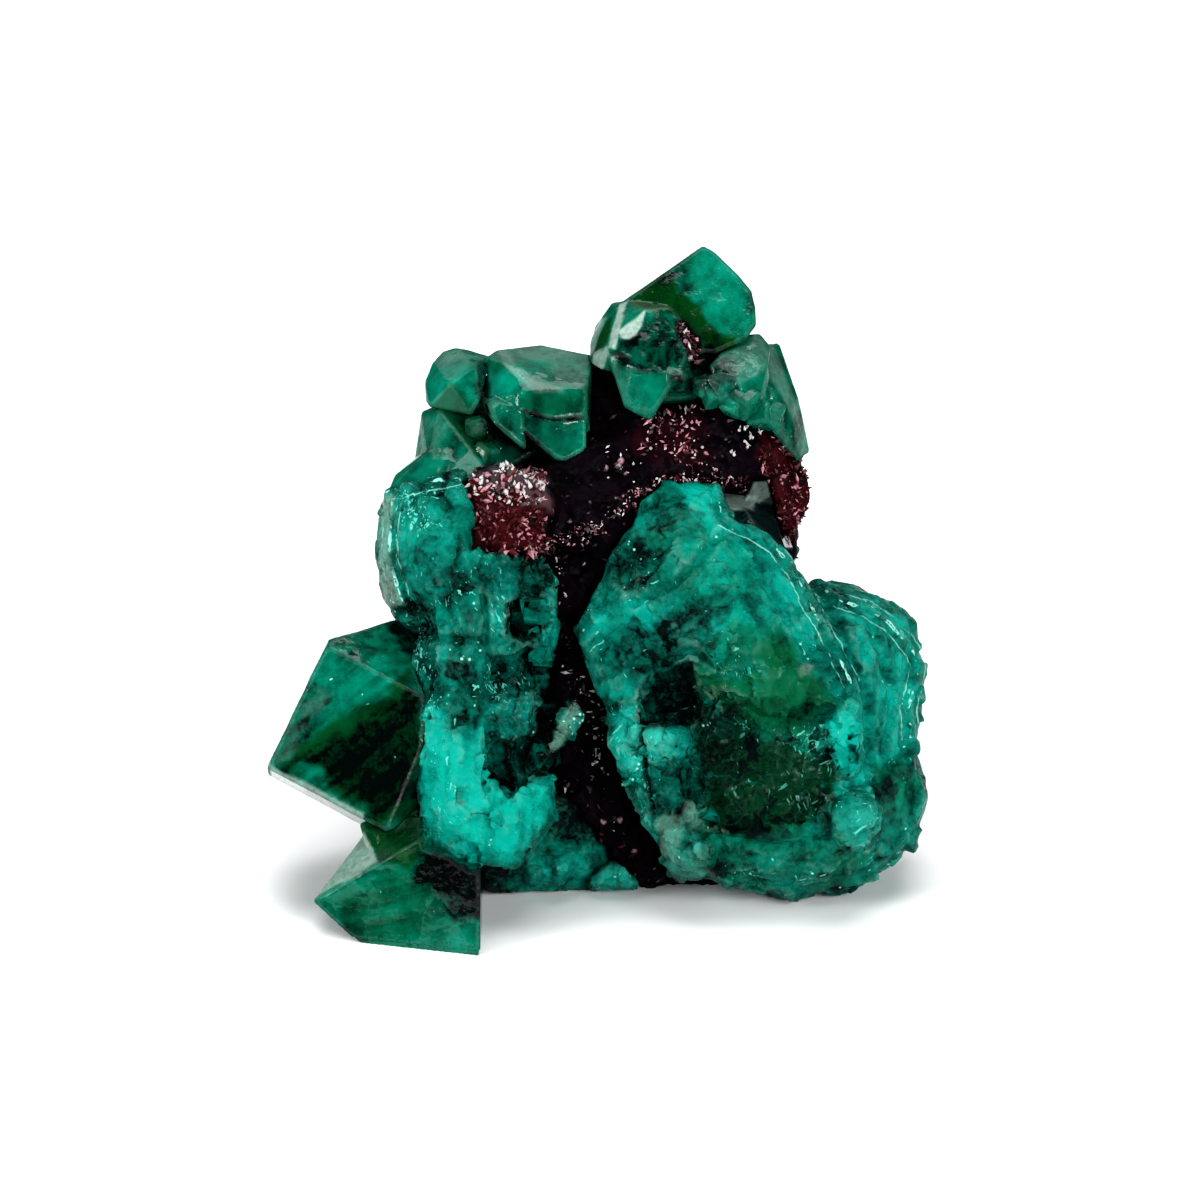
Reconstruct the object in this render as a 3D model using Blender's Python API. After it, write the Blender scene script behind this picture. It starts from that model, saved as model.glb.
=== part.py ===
"""A dioptase specimen: stubby green crystals grown together on a dark red-brown matrix.

Lengths are in millimetres until the last step, which scales the meshes to metres. Places are
given in the front view, which looks down on the specimen a little: across to the right, up,
and near, towards the viewer. The function front() turns them into upright space, +Z up.
"""

import math

import bmesh
import bpy
from mathutils import Vector, noise

METRES = 0.001
LOOK_DOWN = math.radians(20)  # tilt of the front view
TIP_LEAN = math.radians(50.96)  # from a crystal's long axis to the normal of a tip face
CRYSTAL_GAP = 0.18  # clearance between two groups of crystals
MATRIX_GAP = 0.22  # clearance between the crystals and the matrix
ROUGH_CELL = 0.36  # finest detail of broken stone
BLANK = 120  # edge of the cube that blocks are cut from
SPREAD = 0.007  # growth from one block to the next, so that no two of their faces coincide


def front(across, up, near):
    """A point or direction of the front view in upright space."""
    low, high = math.sin(LOOK_DOWN), math.cos(LOOK_DOWN)
    return Vector((across, up * low - near * high, up * high + near * low))


def crystal(tip, axis, facing, girth, length, squeeze=(1, 1, 1, 1, 1, 1), trims=()):
    """The planes of one crystal, as (outward normal, distance) pairs.

    It is a six-sided prism with three faces at its tip. The axis points out of the tip, and
    the first tip face looks towards facing. Squeeze narrows or widens single prism faces, and
    a trim is one more plane: its direction, and its distance from the tip.
    """
    point = front(*tip)
    along = front(*axis).normalized()
    out = front(*facing)
    out = (out - along * out.dot(along)).normalized()
    side = along.cross(out)
    planes = []
    for turn in (0, 120, 240):
        angle = math.radians(turn)
        spread = out * math.cos(angle) + side * math.sin(angle)
        normal = along * math.cos(TIP_LEAN) + spread * math.sin(TIP_LEAN)
        planes.append((normal, normal.dot(point)))
    for turn, share in zip(range(30, 390, 60), squeeze):
        angle = math.radians(turn)
        normal = out * math.cos(angle) + side * math.sin(angle)
        planes.append((normal, normal.dot(point) + girth * share))
    planes.append((-along, length - along.dot(point)))
    for direction, reach in trims:
        normal = front(*direction).normalized()
        planes.append((normal, normal.dot(point) + reach))
    return planes


def spray(root, *members):
    """Crystals that grow out of one root: axis, facing, girth and reach of each."""
    planes = []
    for axis, facing, girth, reach in members:
        along = Vector(axis).normalized()
        tip = Vector(root) + along * reach
        planes.append(crystal(tip, axis, facing, girth, reach + 0.8))
    return planes


def stone(heart, *faces):
    """Planes through three points each, with the heart on their inner side."""
    inside = front(*heart)
    planes = []
    for corners in faces:
        first, second, third = (front(*corner) for corner in corners)
        normal = (second - first).cross(third - first).normalized()
        if normal.dot(inside - first) > 0:
            normal = -normal
        planes.append((normal, normal.dot(first)))
    return planes


def lump(*points):
    """The planes of the smallest convex stone around these points of the front view."""
    shape = bmesh.new()
    for place in points:
        shape.verts.new(front(*place))
    bmesh.ops.convex_hull(shape, input=shape.verts)
    bmesh.ops.recalc_face_normals(shape, faces=shape.faces)
    planes = [(face.normal.copy(), face.normal.dot(face.verts[0].co)) for face in shape.faces]
    shape.free()
    return planes


def carve(planes, grow=0.0):
    """A shape of the space inside the planes, each moved out by grow."""
    shape = bmesh.new()
    bmesh.ops.create_cube(shape, size=BLANK)
    for normal, distance in planes:
        everything = shape.verts[:] + shape.edges[:] + shape.faces[:]
        cut = bmesh.ops.bisect_plane(
            shape, geom=everything, dist=1e-5, plane_co=normal * (distance + grow),
            plane_no=normal, clear_outer=True,
        )
        rim = [item for item in cut["geom_cut"] if isinstance(item, bmesh.types.BMEdge)]
        if rim:
            bmesh.ops.contextual_create(shape, geom=rim)
    bmesh.ops.remove_doubles(shape, verts=shape.verts, dist=0.01)
    bmesh.ops.recalc_face_normals(shape, faces=shape.faces)
    return shape


def solid(shape):
    """The mesh of a finished shape."""
    mesh = bpy.data.meshes.new("solid")
    shape.to_mesh(mesh)
    shape.free()
    return mesh


def block(planes, grow=0.0):
    return solid(carve(planes, grow))


def modified(mesh, kind, **settings):
    """The mesh after one modifier."""
    body = bpy.data.objects.new("body", mesh)
    bpy.context.collection.objects.link(body)
    step = body.modifiers.new("step", kind)
    for name, value in settings.items():
        setattr(step, name, value)
    graph = bpy.context.evaluated_depsgraph_get()
    made = bpy.data.meshes.new_from_object(body.evaluated_get(graph))
    bpy.data.objects.remove(body)
    return made


def combine(mesh, others, operation):
    """The mesh joined with the other meshes, or cut by them."""
    for other in others:
        tool = bpy.data.objects.new("tool", other)
        bpy.context.collection.objects.link(tool)
        mesh = modified(mesh, "BOOLEAN", operation=operation, object=tool)
        bpy.data.objects.remove(tool)
    return mesh


def roughen(mesh, facets, depth, seed):
    """Wear the faces of broken stone in, and leave about so many facets."""
    mesh = modified(mesh, "REMESH", mode="VOXEL", voxel_size=ROUGH_CELL)
    offset = Vector((seed * 7.3, seed * 3.1, seed * 5.7))
    normals = [corner.vector.copy() for corner in mesh.vertex_normals]
    for corner, normal in zip(mesh.vertices, normals):
        place = corner.co * 0.5 + offset
        wear = 0.1 + 0.9 * noise.noise(place) + 0.7 * noise.noise(place * 2.6)
        corner.co -= normal * min(max(wear, 0), 1) * depth
    return modified(mesh, "DECIMATE", ratio=facets / (2 * len(mesh.polygons)))


def main_body(mesh):
    """The mesh without the loose crumbs that a cut can leave."""
    shape = bmesh.new()
    shape.from_mesh(mesh)
    bodies = []
    left = set(shape.verts)
    while left:
        body = set()
        reached = {left.pop()}
        while reached:
            corner = reached.pop()
            body.add(corner)
            for edge in corner.link_edges:
                other = edge.other_vert(corner)
                if other not in body:
                    reached.add(other)
        left -= body
        bodies.append(body)
    crumbs = [corner for body in sorted(bodies, key=len)[:-1] for corner in body]
    bmesh.ops.delete(shape, geom=crumbs, context="VERTS")
    return solid(shape)


def ground():
    """What the specimen stands on: it cuts the underside flat."""
    shape = bmesh.new()
    bmesh.ops.create_cube(shape, size=BLANK)
    bmesh.ops.translate(shape, verts=shape.verts, vec=(0, 0, -BLANK / 2))
    return solid(shape)


def swollen(mesh, distance):
    """The mesh with its surface moved out."""
    mesh = mesh.copy()
    normals = [corner.vector.copy() for corner in mesh.vertex_normals]
    for corner, normal in zip(mesh.vertices, normals):
        corner.co += normal * distance
    return mesh


def fuse(crisp, clear_of=(), beside=(), rough=(), facets=0, depth=0.4, pits=(), gap=CRYSTAL_GAP):
    """One mesh of all the blocks, cut back from its neighbours and from the ground.

    The neighbours are given as the blocks they are made of, and broken stone also as its mesh.
    """
    parts = [block(planes, SPREAD * number) for number, planes in enumerate(crisp, 1)]
    if rough:
        stones = [block(planes, SPREAD * number) for number, planes in enumerate(rough)]
        broken = combine(stones[0], stones[1:], "UNION")
        broken = combine(broken, [block(planes) for planes in pits], "DIFFERENCE")
        parts.insert(0, roughen(broken, facets, depth, len(rough)))
    made = combine(parts[0], parts[1:], "UNION")
    cutters = [block(planes, gap) for planes in clear_of]
    cutters += [swollen(mesh, gap / 2) for mesh in beside]
    return main_body(combine(made, [*cutters, ground()], "DIFFERENCE"))


def finish(name, colour, roughness):
    material = bpy.data.materials.new(name)
    material.use_nodes = True
    shader = material.node_tree.nodes["Principled BSDF"]
    shader.inputs["Base Color"].default_value = (*colour, 1)
    shader.inputs["Roughness"].default_value = roughness
    material.diffuse_color = (*colour, 1)
    return material


def place(name, mesh, material):
    mesh.materials.clear()
    mesh.materials.append(material)
    node = bpy.data.objects.new(name, mesh)
    bpy.context.collection.objects.link(node)
    return node


# Crown, top right: the main tip, the two crystals in front of it and the small ones below.
CROWN = [
    lump((5.18, 32.71, -2), (5.68, 32.45, -1.95), (6.18, 31.89, -1.75), (6.88, 31.28, -1.55),
         (7.53, 30.46, -1.3), (7.72, 29.64, -1),
         (7.72, 28.78, -0.75), (7.16, 28.07, -0.4), (5.75, 27.41, -0.15), (4.5, 27.45, -0.1),
         (2.5, 28.77, -0.5), (1.1, 29.84, -0.85),
         (0.15, 29.12, -1.6), (5.09, 32.2, -6), (7.15, 30.32, -7), (7.64, 28.74, -6),
         (4.59, 27.74, -6.5), (0.51, 28.7, -5),
         (2.03, 30.25, -5.5)),
    lump((2.25, 29.49, 0.2), (3.6, 29.55, 0), (4.49, 27.73, 0.56), (4.09, 26.66, 1),
         (1.99, 26.35, 1.4), (2, 28.48, 0.6),
         (1.65, 28.07, 0.75), (1, 28.08, 0.5), (1, 28.59, 0.2), (1.3, 29.89, -0.9),
         (1.1, 28.75, 0.05), (0.4, 27.29, 0.3),
         (0.65, 29.81, -1.3), (0.4, 28.01, -0.2), (-0.15, 28.74, -2.2), (-0.4, 27.82, -1.7),
         (-0.4, 26.99, -1.1), (0.15, 26.61, -0.2),
         (0.45, 27.18, 0.5), (3.05, 28.7, -5), (0.51, 27.18, -5), (4.57, 27.18, -5),
         (2.02, 30.16, -3.5)),
    lump((0.45, 27.18, 0.6), (1, 27.31, 1), (3.68, 26.1, 1.4), (3.09, 25.06, 1.2),
         (2.64, 24.47, 1.1), (2.49, 24.03, 0.8),
         (1.3, 24.68, 0.6), (0.75, 26.48, 0.7), (1.01, 26.64, -4), (2.52, 24.48, -3),
         (3.54, 26.13, -4)),
    lump((5.59, 26.68, 0.5), (6.05, 27.2, -0.1), (6.81, 27.58, -0.7), (7.33, 28.21, -1.4),
         (7.99, 28.26, -1.6), (8.43, 27.7, -1.2),
         (8.25, 26.65, -0.1), (7.84, 26.08, 0.5), (6.93, 25.71, 1.1), (6.19, 26.57, 0.8),
         (5.78, 25.07, 0.9), (6.97, 24.76, 1.2),
         (7.78, 24.87, 0.9), (8.3, 25.21, -0.2), (6.09, 26.67, -5), (7.89, 27.98, -6),
         (8.12, 25.15, -5), (5.82, 25.12, -4)),
    crystal((6.07, 25.74, 1.7), (0.1, 0.15, 1), (0.1, 1, 0), 0.62, 3),
    crystal((7.37, 24.76, 1.5), (0.3, -0.2, 1), (0, 1, 0), 0.72, 3),
    crystal((5.57, 25.05, 1.5), (-0.2, -0.35, 1), (0.5, 1, 0), 0.62, 3),
    crystal((4.98, 25.76, 1.3), (-0.4, 0.2, 1), (0, 1, 0), 0.45, 3),
    crystal((6.63, 24.42, 1.2), (0, -0.6, 1), (-0.4, 1, 0), 0.5, 3),
    crystal((3.53, 26.05, 1.5), (-0.3, 0, 1), (0.5, 1, 0), 0.5, 3),
    lump((8.46, 27.69, -2.4), (8.93, 27.76, -3), (9.32, 26.49, -2.6), (9.82, 25.17, -2.4),
         (9.33, 24.53, -1), (8.51, 25.41, -0.2),
         (8.41, 24.01, -0.4), (8.22, 26.43, -0.8), (10.08, 24.07, -2.6), (10.37, 22.55, -2.4),
         (9.85, 22.13, -1.6), (9.12, 23.82, -0.8),
         (8.88, 26.17, -5), (10.05, 23.63, -5)),
    crystal((8.24, 23.99, 0.5), (0.3, -0.4, 0.8), (1, 0.3, 0), 0.6, 3),
    crystal((8.94, 24.39, 0.3), (0.5, 0.1, 0.7), (0, 1, 0), 0.55, 3),
    lump((4.53, 28.58, -2), (7.31, 28.35, -2.6), (8.04, 25.05, -1.6), (5.01, 25.26, -0.4),
         (2.5, 25.02, -0.6), (2.01, 27.04, -1),
         (4.58, 30.27, -6), (2.55, 28.76, -6.5), (7.39, 28.25, -6.5), (8.65, 26.2, -6),
         (5.09, 25.18, -6), (2.03, 26.18, -5.5)),
]

# Shoulder, top left: a rounded crystal, the blocky one beside it and the slope below.
SHOULDER = [
    lump((-8.67, 25.93, -0.8), (-8.33, 26.85, -1.4), (-7.84, 27.42, -1.8), (-7.24, 27.57, -1.8),
         (-6.63, 27.45, -1.4), (-6.11, 27.17, -0.6),
         (-5.61, 27.13, -0.8), (-8.45, 24.75, 0), (-7.38, 25.77, 1), (-6.19, 26.67, 0.8),
         (-6.03, 25.06, 1.2), (-6.43, 24.32, 1),
         (-8.62, 25.02, -0.6), (-8.14, 26.2, -6), (-6.11, 26.2, -6), (-7.11, 24.14, -5),
         (-8.07, 24.59, -3)),
    lump((-4.33, 27.53, -2.1), (-2.97, 27.74, -2.4), (-0.5, 27.21, -1.7), (-0.7, 25.69, 0.45),
         (-1.2, 25.68, 0.5), (-4.76, 27.19, -1),
         (-4.2, 26.61, -0.2), (-3.25, 25.99, 0.4), (-1.9, 25.53, 0.6), (-5.17, 27.45, -1.4),
         (-4.75, 26.75, 0), (-3.84, 25.98, 0.7),
         (-2.99, 25.42, 0.9), (-1.9, 25.38, 0.8), (-5.56, 27.12, -0.6), (-5.54, 24.98, 0.5),
         (-3.79, 25.37, 1.1), (-3.74, 24.42, 1.2),
         (-2.39, 24.07, 1.2), (-0.75, 24.32, 0.9), (-0.8, 25.53, 0.6), (-0.6, 23.49, 0.3),
         (-5.09, 26.2, -6), (-0.76, 26.2, -6),
         (-3.05, 23.63, -5)),
    stone((-2.26, 23.54, -1.5),
          ((-3.79, 24.27, 1.1), (-0.85, 23.98, 0.7), (-1.69, 22.07, 1.3)),
          ((-3.79, 24.27, 1.1), (-3.84, 23.37, 1), (-3.94, 24.08, -3)),
          ((-3.84, 23.47, 1.1), (-2.49, 22.37, 1.4), (-3.53, 22.77, -3)),
          ((-2.74, 22.17, 1.4), (-1.69, 22.02, 1.3), (-2.22, 21.96, -3)),
          ((-1.69, 22.02, 1.3), (-0.8, 22.53, 0.8), (-1.21, 22.06, -3)),
          ((-0.8, 23.98, 0.7), (-0.8, 22.53, 0.8), (-0.71, 23.58, -3)),
          ((-3.79, 24.52, 1.1), (-0.75, 24.38, 0.7), (-2.42, 24.89, -3)),
          ((-3.55, 24.14, -5), (-1.02, 24.14, -5), (-2.03, 22.61, -5))),
    lump((-5.94, 25.03, 0.6), (-5.53, 24.86, 1.2), (-5.13, 23.76, 1.6), (-4.58, 23.26, 1.5),
         (-3.79, 22.62, 1.3), (-3.79, 24.57, 0.9),
         (-5, 25.24, 0.2), (-4.04, 23.07, -3), (-5.55, 24.59, -3)),
    lump((-8.83, 24.38, -1.2), (-8.42, 24.52, -0.8), (-8, 24.39, 0.2), (-8.83, 22.72, -1),
         (-9.17, 22.07, -0.8), (-8.47, 22.18, 1),
         (-6.37, 22.36, 1.6), (-5.64, 22.38, 0.8), (-6.51, 24.26, -0.5), (-5.51, 23.51, -0.5),
         (-8.65, 23.65, -6), (-6.11, 23.14, -6)),
    lump((-9.17, 22.06, -0.6), (-10.13, 21.14, 0.6), (-10.4, 20.37, 1.6), (-7.94, 20.66, 2.6),
         (-5.56, 21.26, 2.2), (-6.37, 22.36, 1.6),
         (-8.47, 22.38, 1), (-9.9, 21.09, -5), (-6.11, 22.13, -6)),
    lump((-7.79, 26.05, -1.6), (-1, 26.3, -1.6), (-1.26, 23.54, -1.4), (-5.02, 21.52, -1),
         (-8.54, 22.54, -1.6), (-7.65, 26.21, -6.5),
         (-1.53, 26.49, -7), (-2.04, 23.16, -6.5), (-7.64, 22.64, -6)),
    crystal((-6.32, 23.76, 1.6), (-0.3, 0.3, 1), (0, 1, 0), 0.4, 4.5),
    crystal((-5.57, 22.36, 1.8), (0.2, 0.2, 1), (0.4, 1, 0), 0.5, 3),
]

# The bulge and the long crystal under it, in front on the left.
COLUMN_ROUGH = [
    lump((-10.34, 20.42, 2), (-8.42, 20.84, 3.2), (-6.72, 21.18, 3.8), (-6.52, 20.73, 4.2),
         (-6.6, 17.36, 5), (-8.37, 16.97, 5.2),
         (-6.39, 14.51, 5.4), (-10.46, 17.13, 2.8), (-10.36, 20.11, 2.8), (-9.82, 14.8, 2.8),
         (-10.92, 19.39, 0.9), (-11.13, 17.39, 0.7),
         (-10.98, 15.8, 0.7), (-10.61, 14.65, 1.2), (-10.05, 14.4, 1.6), (-9.46, 14, 1.4),
         (-8.97, 12.51, 1), (-6.91, 12.04, 4.4),
         (-10.06, 20.03, -2), (-10.06, 15.5, -2), (-6.94, 21.04, -2), (-8.05, 12.48, -2),
         (-6.54, 15, -2)),
    lump((-7.89, 16.97, 4.6), (-6.6, 17.27, 5), (-4.68, 17.12, 4.6), (-2.67, 17.18, 3.4),
         (-2.18, 15.5, 3), (-2.38, 13.02, 3.2),
         (-2.58, 10.54, 2.8), (-5.43, 10.56, 4.2), (-8.39, 11.54, 4.2), (-9.12, 12.52, 3),
         (-6.39, 14.51, 5.5), (-3.94, 15, 4.6),
         (-7.55, 17.01, -2), (-3.02, 17.01, -2), (-3.02, 10.98, -2), (-8.05, 11.48, -2)),
    lump((-9.12, 13.02, 2.8), (-9.35, 10.05, 3.4), (-9.35, 7.98, 3.6), (-9.05, 5.81, 3.8),
         (-8.74, 4.04, 4.2), (-8.23, 2.63, 4.8),
         (-6.39, 2.32, 5.6), (-5.66, 2.01, 5.2), (-5.51, 6.15, 5.4), (-5.57, 11.06, 4.8),
         (-5.63, 13.03, 4.2), (-7.62, 10.08, 5.4),
         (-7.46, 5.67, 6), (-7.39, 12.54, 4.8), (-8.53, 12.99, -1), (-6.02, 12.99, -1),
         (-6, 2.5, 0), (-7.98, 2.79, 1)),
    lump((-5.9, 4.58, 5.6), (-5.32, 5.54, 5), (-4.63, 5.83, 4.7), (-3.55, 6.37, 4.4),
         (-2.42, 6.36, 4), (-2.32, 5.13, 4.4),
         (-2.37, 4.05, 4.4), (-3.01, 3.52, 4.8), (-3.64, 2.84, 5), (-4.29, 1.94, 4.8),
         (-5.8, 2.02, 5.6), (-4.42, 4.19, 5.8),
         (-6.02, 4.97, -1), (-2.51, 5.97, -1), (-2.51, 3.97, -1), (-6.02, 2.46, -1),
         (-4.25, 2.25, 0)),
    lump((-5.75, 13.02, 3), (-2.53, 13.02, 2.6), (-2.68, 10.04, 2.4), (-2.68, 6.55, 2),
         (-5.75, 5.57, 2.6), (-5.73, 12.99, -2),
         (-2.62, 12.99, -2), (-2.62, 5.95, -2), (-5.73, 4.94, -2)),
    lump((-5.74, 10.45, 3.4), (-3.96, 10.75, 3.6), (-2.82, 10.44, 3), (-2.73, 9.74, 2.8),
         (-3.95, 9.07, 3.9), (-5.44, 9.27, 3.8),
         (-5.5, 10, 0), (-2.8, 10, 0)),
    lump((-5.65, 8.86, 3.2), (-3.76, 9.17, 3.8), (-3.07, 8.36, 3.2), (-4.36, 7.67, 3.2),
         (-5.34, 7.98, 3.6), (-5, 8.75, 0),
         (-3.5, 8.25, 0)),
]
COLUMN = [
    lump((-2.82, 15.49, 4), (-2.47, 16.09, 3.8), (-2.17, 15, 3.8), (-2.37, 13.03, 4.2),
         (-2.67, 11.84, 4), (-2.96, 13.03, 4.2),
         (-2.68, 15, 2), (-2.58, 12.27, 2)),
    lump((-1.39, 9.85, 3.2), (-1.04, 10.05, 3), (-1.04, 9.45, 3.2), (-1.88, 7.88, 3.8),
         (-2.97, 7.19, 3.8), (-3.21, 7.38, 3.6),
         (-2.37, 8.17, 3.6), (-1.49, 9.52, 1.5), (-2.99, 7.42, 1), (-1.89, 8.02, 1)),
]
COLUMN_PITS = [
    lump((-4.29, 14.8, 8), (-3.61, 15, 8), (-2.93, 14.8, 8), (-2.73, 14.12, 8), (-3.03, 13.44, 8),
         (-3.71, 13.24, 8), (-4.29, 13.54, 8),
         (-4.49, 14.17, 8), (-4.07, 14.5, 2.4), (-3.28, 14.5, 2.4), (-3.28, 13.71, 2.4),
         (-4.07, 13.71, 2.4)),
    lump((-10.51, 14.8, 6), (-8.84, 12.3, 6), (-11.39, 13.63, 6), (-9.82, 13.04, 6),
         (-10.89, 14.8, -6), (-9.16, 12.2, -6), (-11.81, 13.57, -6)),
]

# The large crystal that points left.
LEFT = [
    crystal((-16.35, 6.75, 4), (-0.78, -0.24, 0.577), (-0.08, 0.037, 0.996), 4.85, 16,
            trims=[((-1, 0.05, 0.25), -0.15), ((-0.899, 0.438, 0.01), 0.0)]),
]

# The crystal at the foot, lower left, with a small one behind it.
FOOT = [
    crystal((-14.05, 0.16, 4.75), (-0.908, -0.139, 0.395), (-0.26, -0.10, 0.96), 3.4, 12,
            (2.4, 1, 1, 1, 1, 2.4),
            trims=[((-0.558, 0.689, 0.461), 0.0), ((1, 0, 0), 8.1)]),
    lump((-11.77, 3.87, 3.6), (-11.45, 2.86, 4.4), (-10.43, 2.3, 5.2), (-8.9, 2.02, 5.6),
         (-8.89, 4.53, 4), (-10.41, 4.79, 3),
         (-11.75, 3.5, 0), (-9, 4, 0), (-9.94, 2.08, 2)),
]

# The large broken mass of crystal on the right.
MASS_ROUGH = [
    lump((2.73, 20.67, 2), (4.98, 20.83, 1.4), (5.88, 20.63, 1.2), (6.05, 19.02, 2.6),
         (6.34, 18.61, 3.2), (7.16, 16.97, 4.2),
         (4.93, 16.97, 4.8), (2.47, 15, 4.4), (1.09, 17.73, 2.4), (1.99, 19.96, 2.4),
         (3.04, 20.06, -4), (5.8, 20.45, -3),
         (6.15, 19.04, -3), (6.05, 15, -3), (2.02, 15.5, -3)),
    lump((1.09, 17.83, 2.4), (4.93, 17.96, 4.4), (6.35, 18.77, 2.8), (7.8, 18.48, 2.2),
         (9.31, 17.19, 1.6), (9.83, 15.1, 2.4),
         (10.67, 13.37, 4), (11.79, 11.2, 4.6), (10.92, 10.38, 5.4), (7.84, 11.57, 6.6),
         (4.76, 11.27, 6.2), (1.97, 12.15, 5.4),
         (6.88, 15, 5.7), (0, 12.53, 4.2), (-0.74, 14.31, 2.6), (0.1, 15.5, 2.2),
         (9.11, 17.02, -4), (11.13, 12.98, -4),
         (0, 15, -3), (0, 12.23, -3), (2.02, 17.52, -3)),
    lump((-1.19, 13.61, 3), (-0.74, 14.5, 2.8), (0.1, 15, 3.2), (1.48, 13.03, 5.2),
         (2.46, 11.65, 5.2), (2.71, 10.07, 4.6),
         (1.78, 9.38, 4.4), (0.59, 9.31, 3.4), (-0.1, 10.53, 2.4), (-0.6, 12.26, 1.8),
         (0.5, 13.49, -2), (2.01, 9.97, -2),
         (0, 12.49, -1)),
    lump((9.85, 15.5, 0), (10.62, 15.75, -0.6), (12.25, 15.9, -1.4), (13.72, 15.3, -1.6),
         (15.42, 14.3, -1.6), (15.9, 13.35, -1),
         (15.79, 11.89, -0.8), (16.19, 10.84, -0.8), (15.77, 9.09, -0.4), (15.6, 7.15, 0),
         (13.92, 6.3, 1.8), (12.13, 6.33, 3.2),
         (11.74, 11.2, 4.6), (10.63, 13.02, 3.8), (12.35, 12.53, 3.9), (13.9, 13.01, 2.4),
         (11.94, 14.8, 1.6), (11.2, 15.41, -6),
         (15.27, 13.98, -6), (15.23, 6.88, -5), (11.17, 6.88, -5)),
    lump((15.56, 7.5, -0.2), (16.52, 5.44, -0.4), (15.9, 3.65, 0), (15.34, 2.31, 0.3),
         (13.97, 1.73, 0.8), (12.83, 0.73, 0.6),
         (10.97, 0.44, 0.8), (11.37, 2.05, 3.8), (12.86, 6.1, 3.6), (14.13, 5.83, 2.8),
         (14.67, 3.56, 1.8), (11.76, 6.11, 4),
         (16.24, 5.36, -5), (13.66, 1.44, -4), (12.14, 0.83, -4), (11.67, 6.37, -5)),
    lump((2.97, 13.02, 3), (11.42, 13.01, 2.2), (2.97, 10.55, 3.4), (4.95, 10.54, 3.2),
         (11.89, 10.05, 3), (12.15, 5.12, 4),
         (11.38, 1.65, 3.6), (9.83, 0.08, 0.6), (8.37, 0.35, 1.2), (5.2, 1.47, 3),
         (3.96, 1.79, 3.6), (3.55, 5.13, 4.2),
         (5.08, 12.97, -5), (11.67, 12.97, -5), (11.67, 9.92, -5), (10.12, 0.33, -4),
         (5.05, 1.38, -3), (3.02, 8.96, -2)),
    lump((4.77, 10.97, 5.3), (6.88, 10.48, 5.6), (9.34, 10.58, 5.7), (12.06, 9.98, 5.2),
         (11.73, 8.89, 4.9), (10.16, 8, 4.5),
         (7.5, 8.19, 4.4), (4.94, 8.68, 4.2), (5, 10.5, 0), (12, 9.5, 0), (10, 8.1, 0)),
    lump((4.45, 8.28, 3.8), (6.67, 7.69, 4.1), (7.89, 8, 4.5), (10.95, 7.9, 4.6),
         (11.85, 6.61, 4.2), (11.84, 5.03, 4.4),
         (10.15, 3.57, 5), (7.09, 3.48, 5), (5.13, 4.05, 4.6), (4.44, 5.62, 4.2), (5, 8, 0),
         (11.5, 7.5, 0),
         (11.5, 4, 0), (5.5, 4, 0)),
    lump((7, 8.99, 4.9), (8.36, 9.34, 5.4), (9.84, 9, 5.4), (11.03, 8.2, 5), (10.15, 7.71, 5),
         (8.67, 7.52, 5.1),
         (7.39, 7.9, 4.8), (7.95, 8.54, 2), (9.94, 8.29, 2)),
    lump((0.3, 10.04, 2.6), (2.97, 10.54, 3), (4.56, 10.05, 3.2), (4.55, 4.51, 3.6),
         (3.37, 2.61, 3), (2.38, 3.98, 2.4),
         (1.49, 5.27, 2.4), (0.79, 7.26, 2.4), (1.01, 9.97, -2), (4.53, 9.97, -2),
         (4.02, 2.93, -2), (2.01, 4.94, -2)),
    lump((4.93, 3.37, 4.8), (7.88, 4.17, 5.2), (10.94, 3.67, 4.8), (12.15, 2.65, 4),
         (10.93, 0.84, 2), (9.84, -0.04, 0.2),
         (8.99, 0.12, 0.4), (7.97, 0.46, 1.4), (5.34, 1.64, 3.4), (4.44, 2.41, 4.2), (5, 3, 0),
         (11, 2.5, 0)),
]
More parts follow.
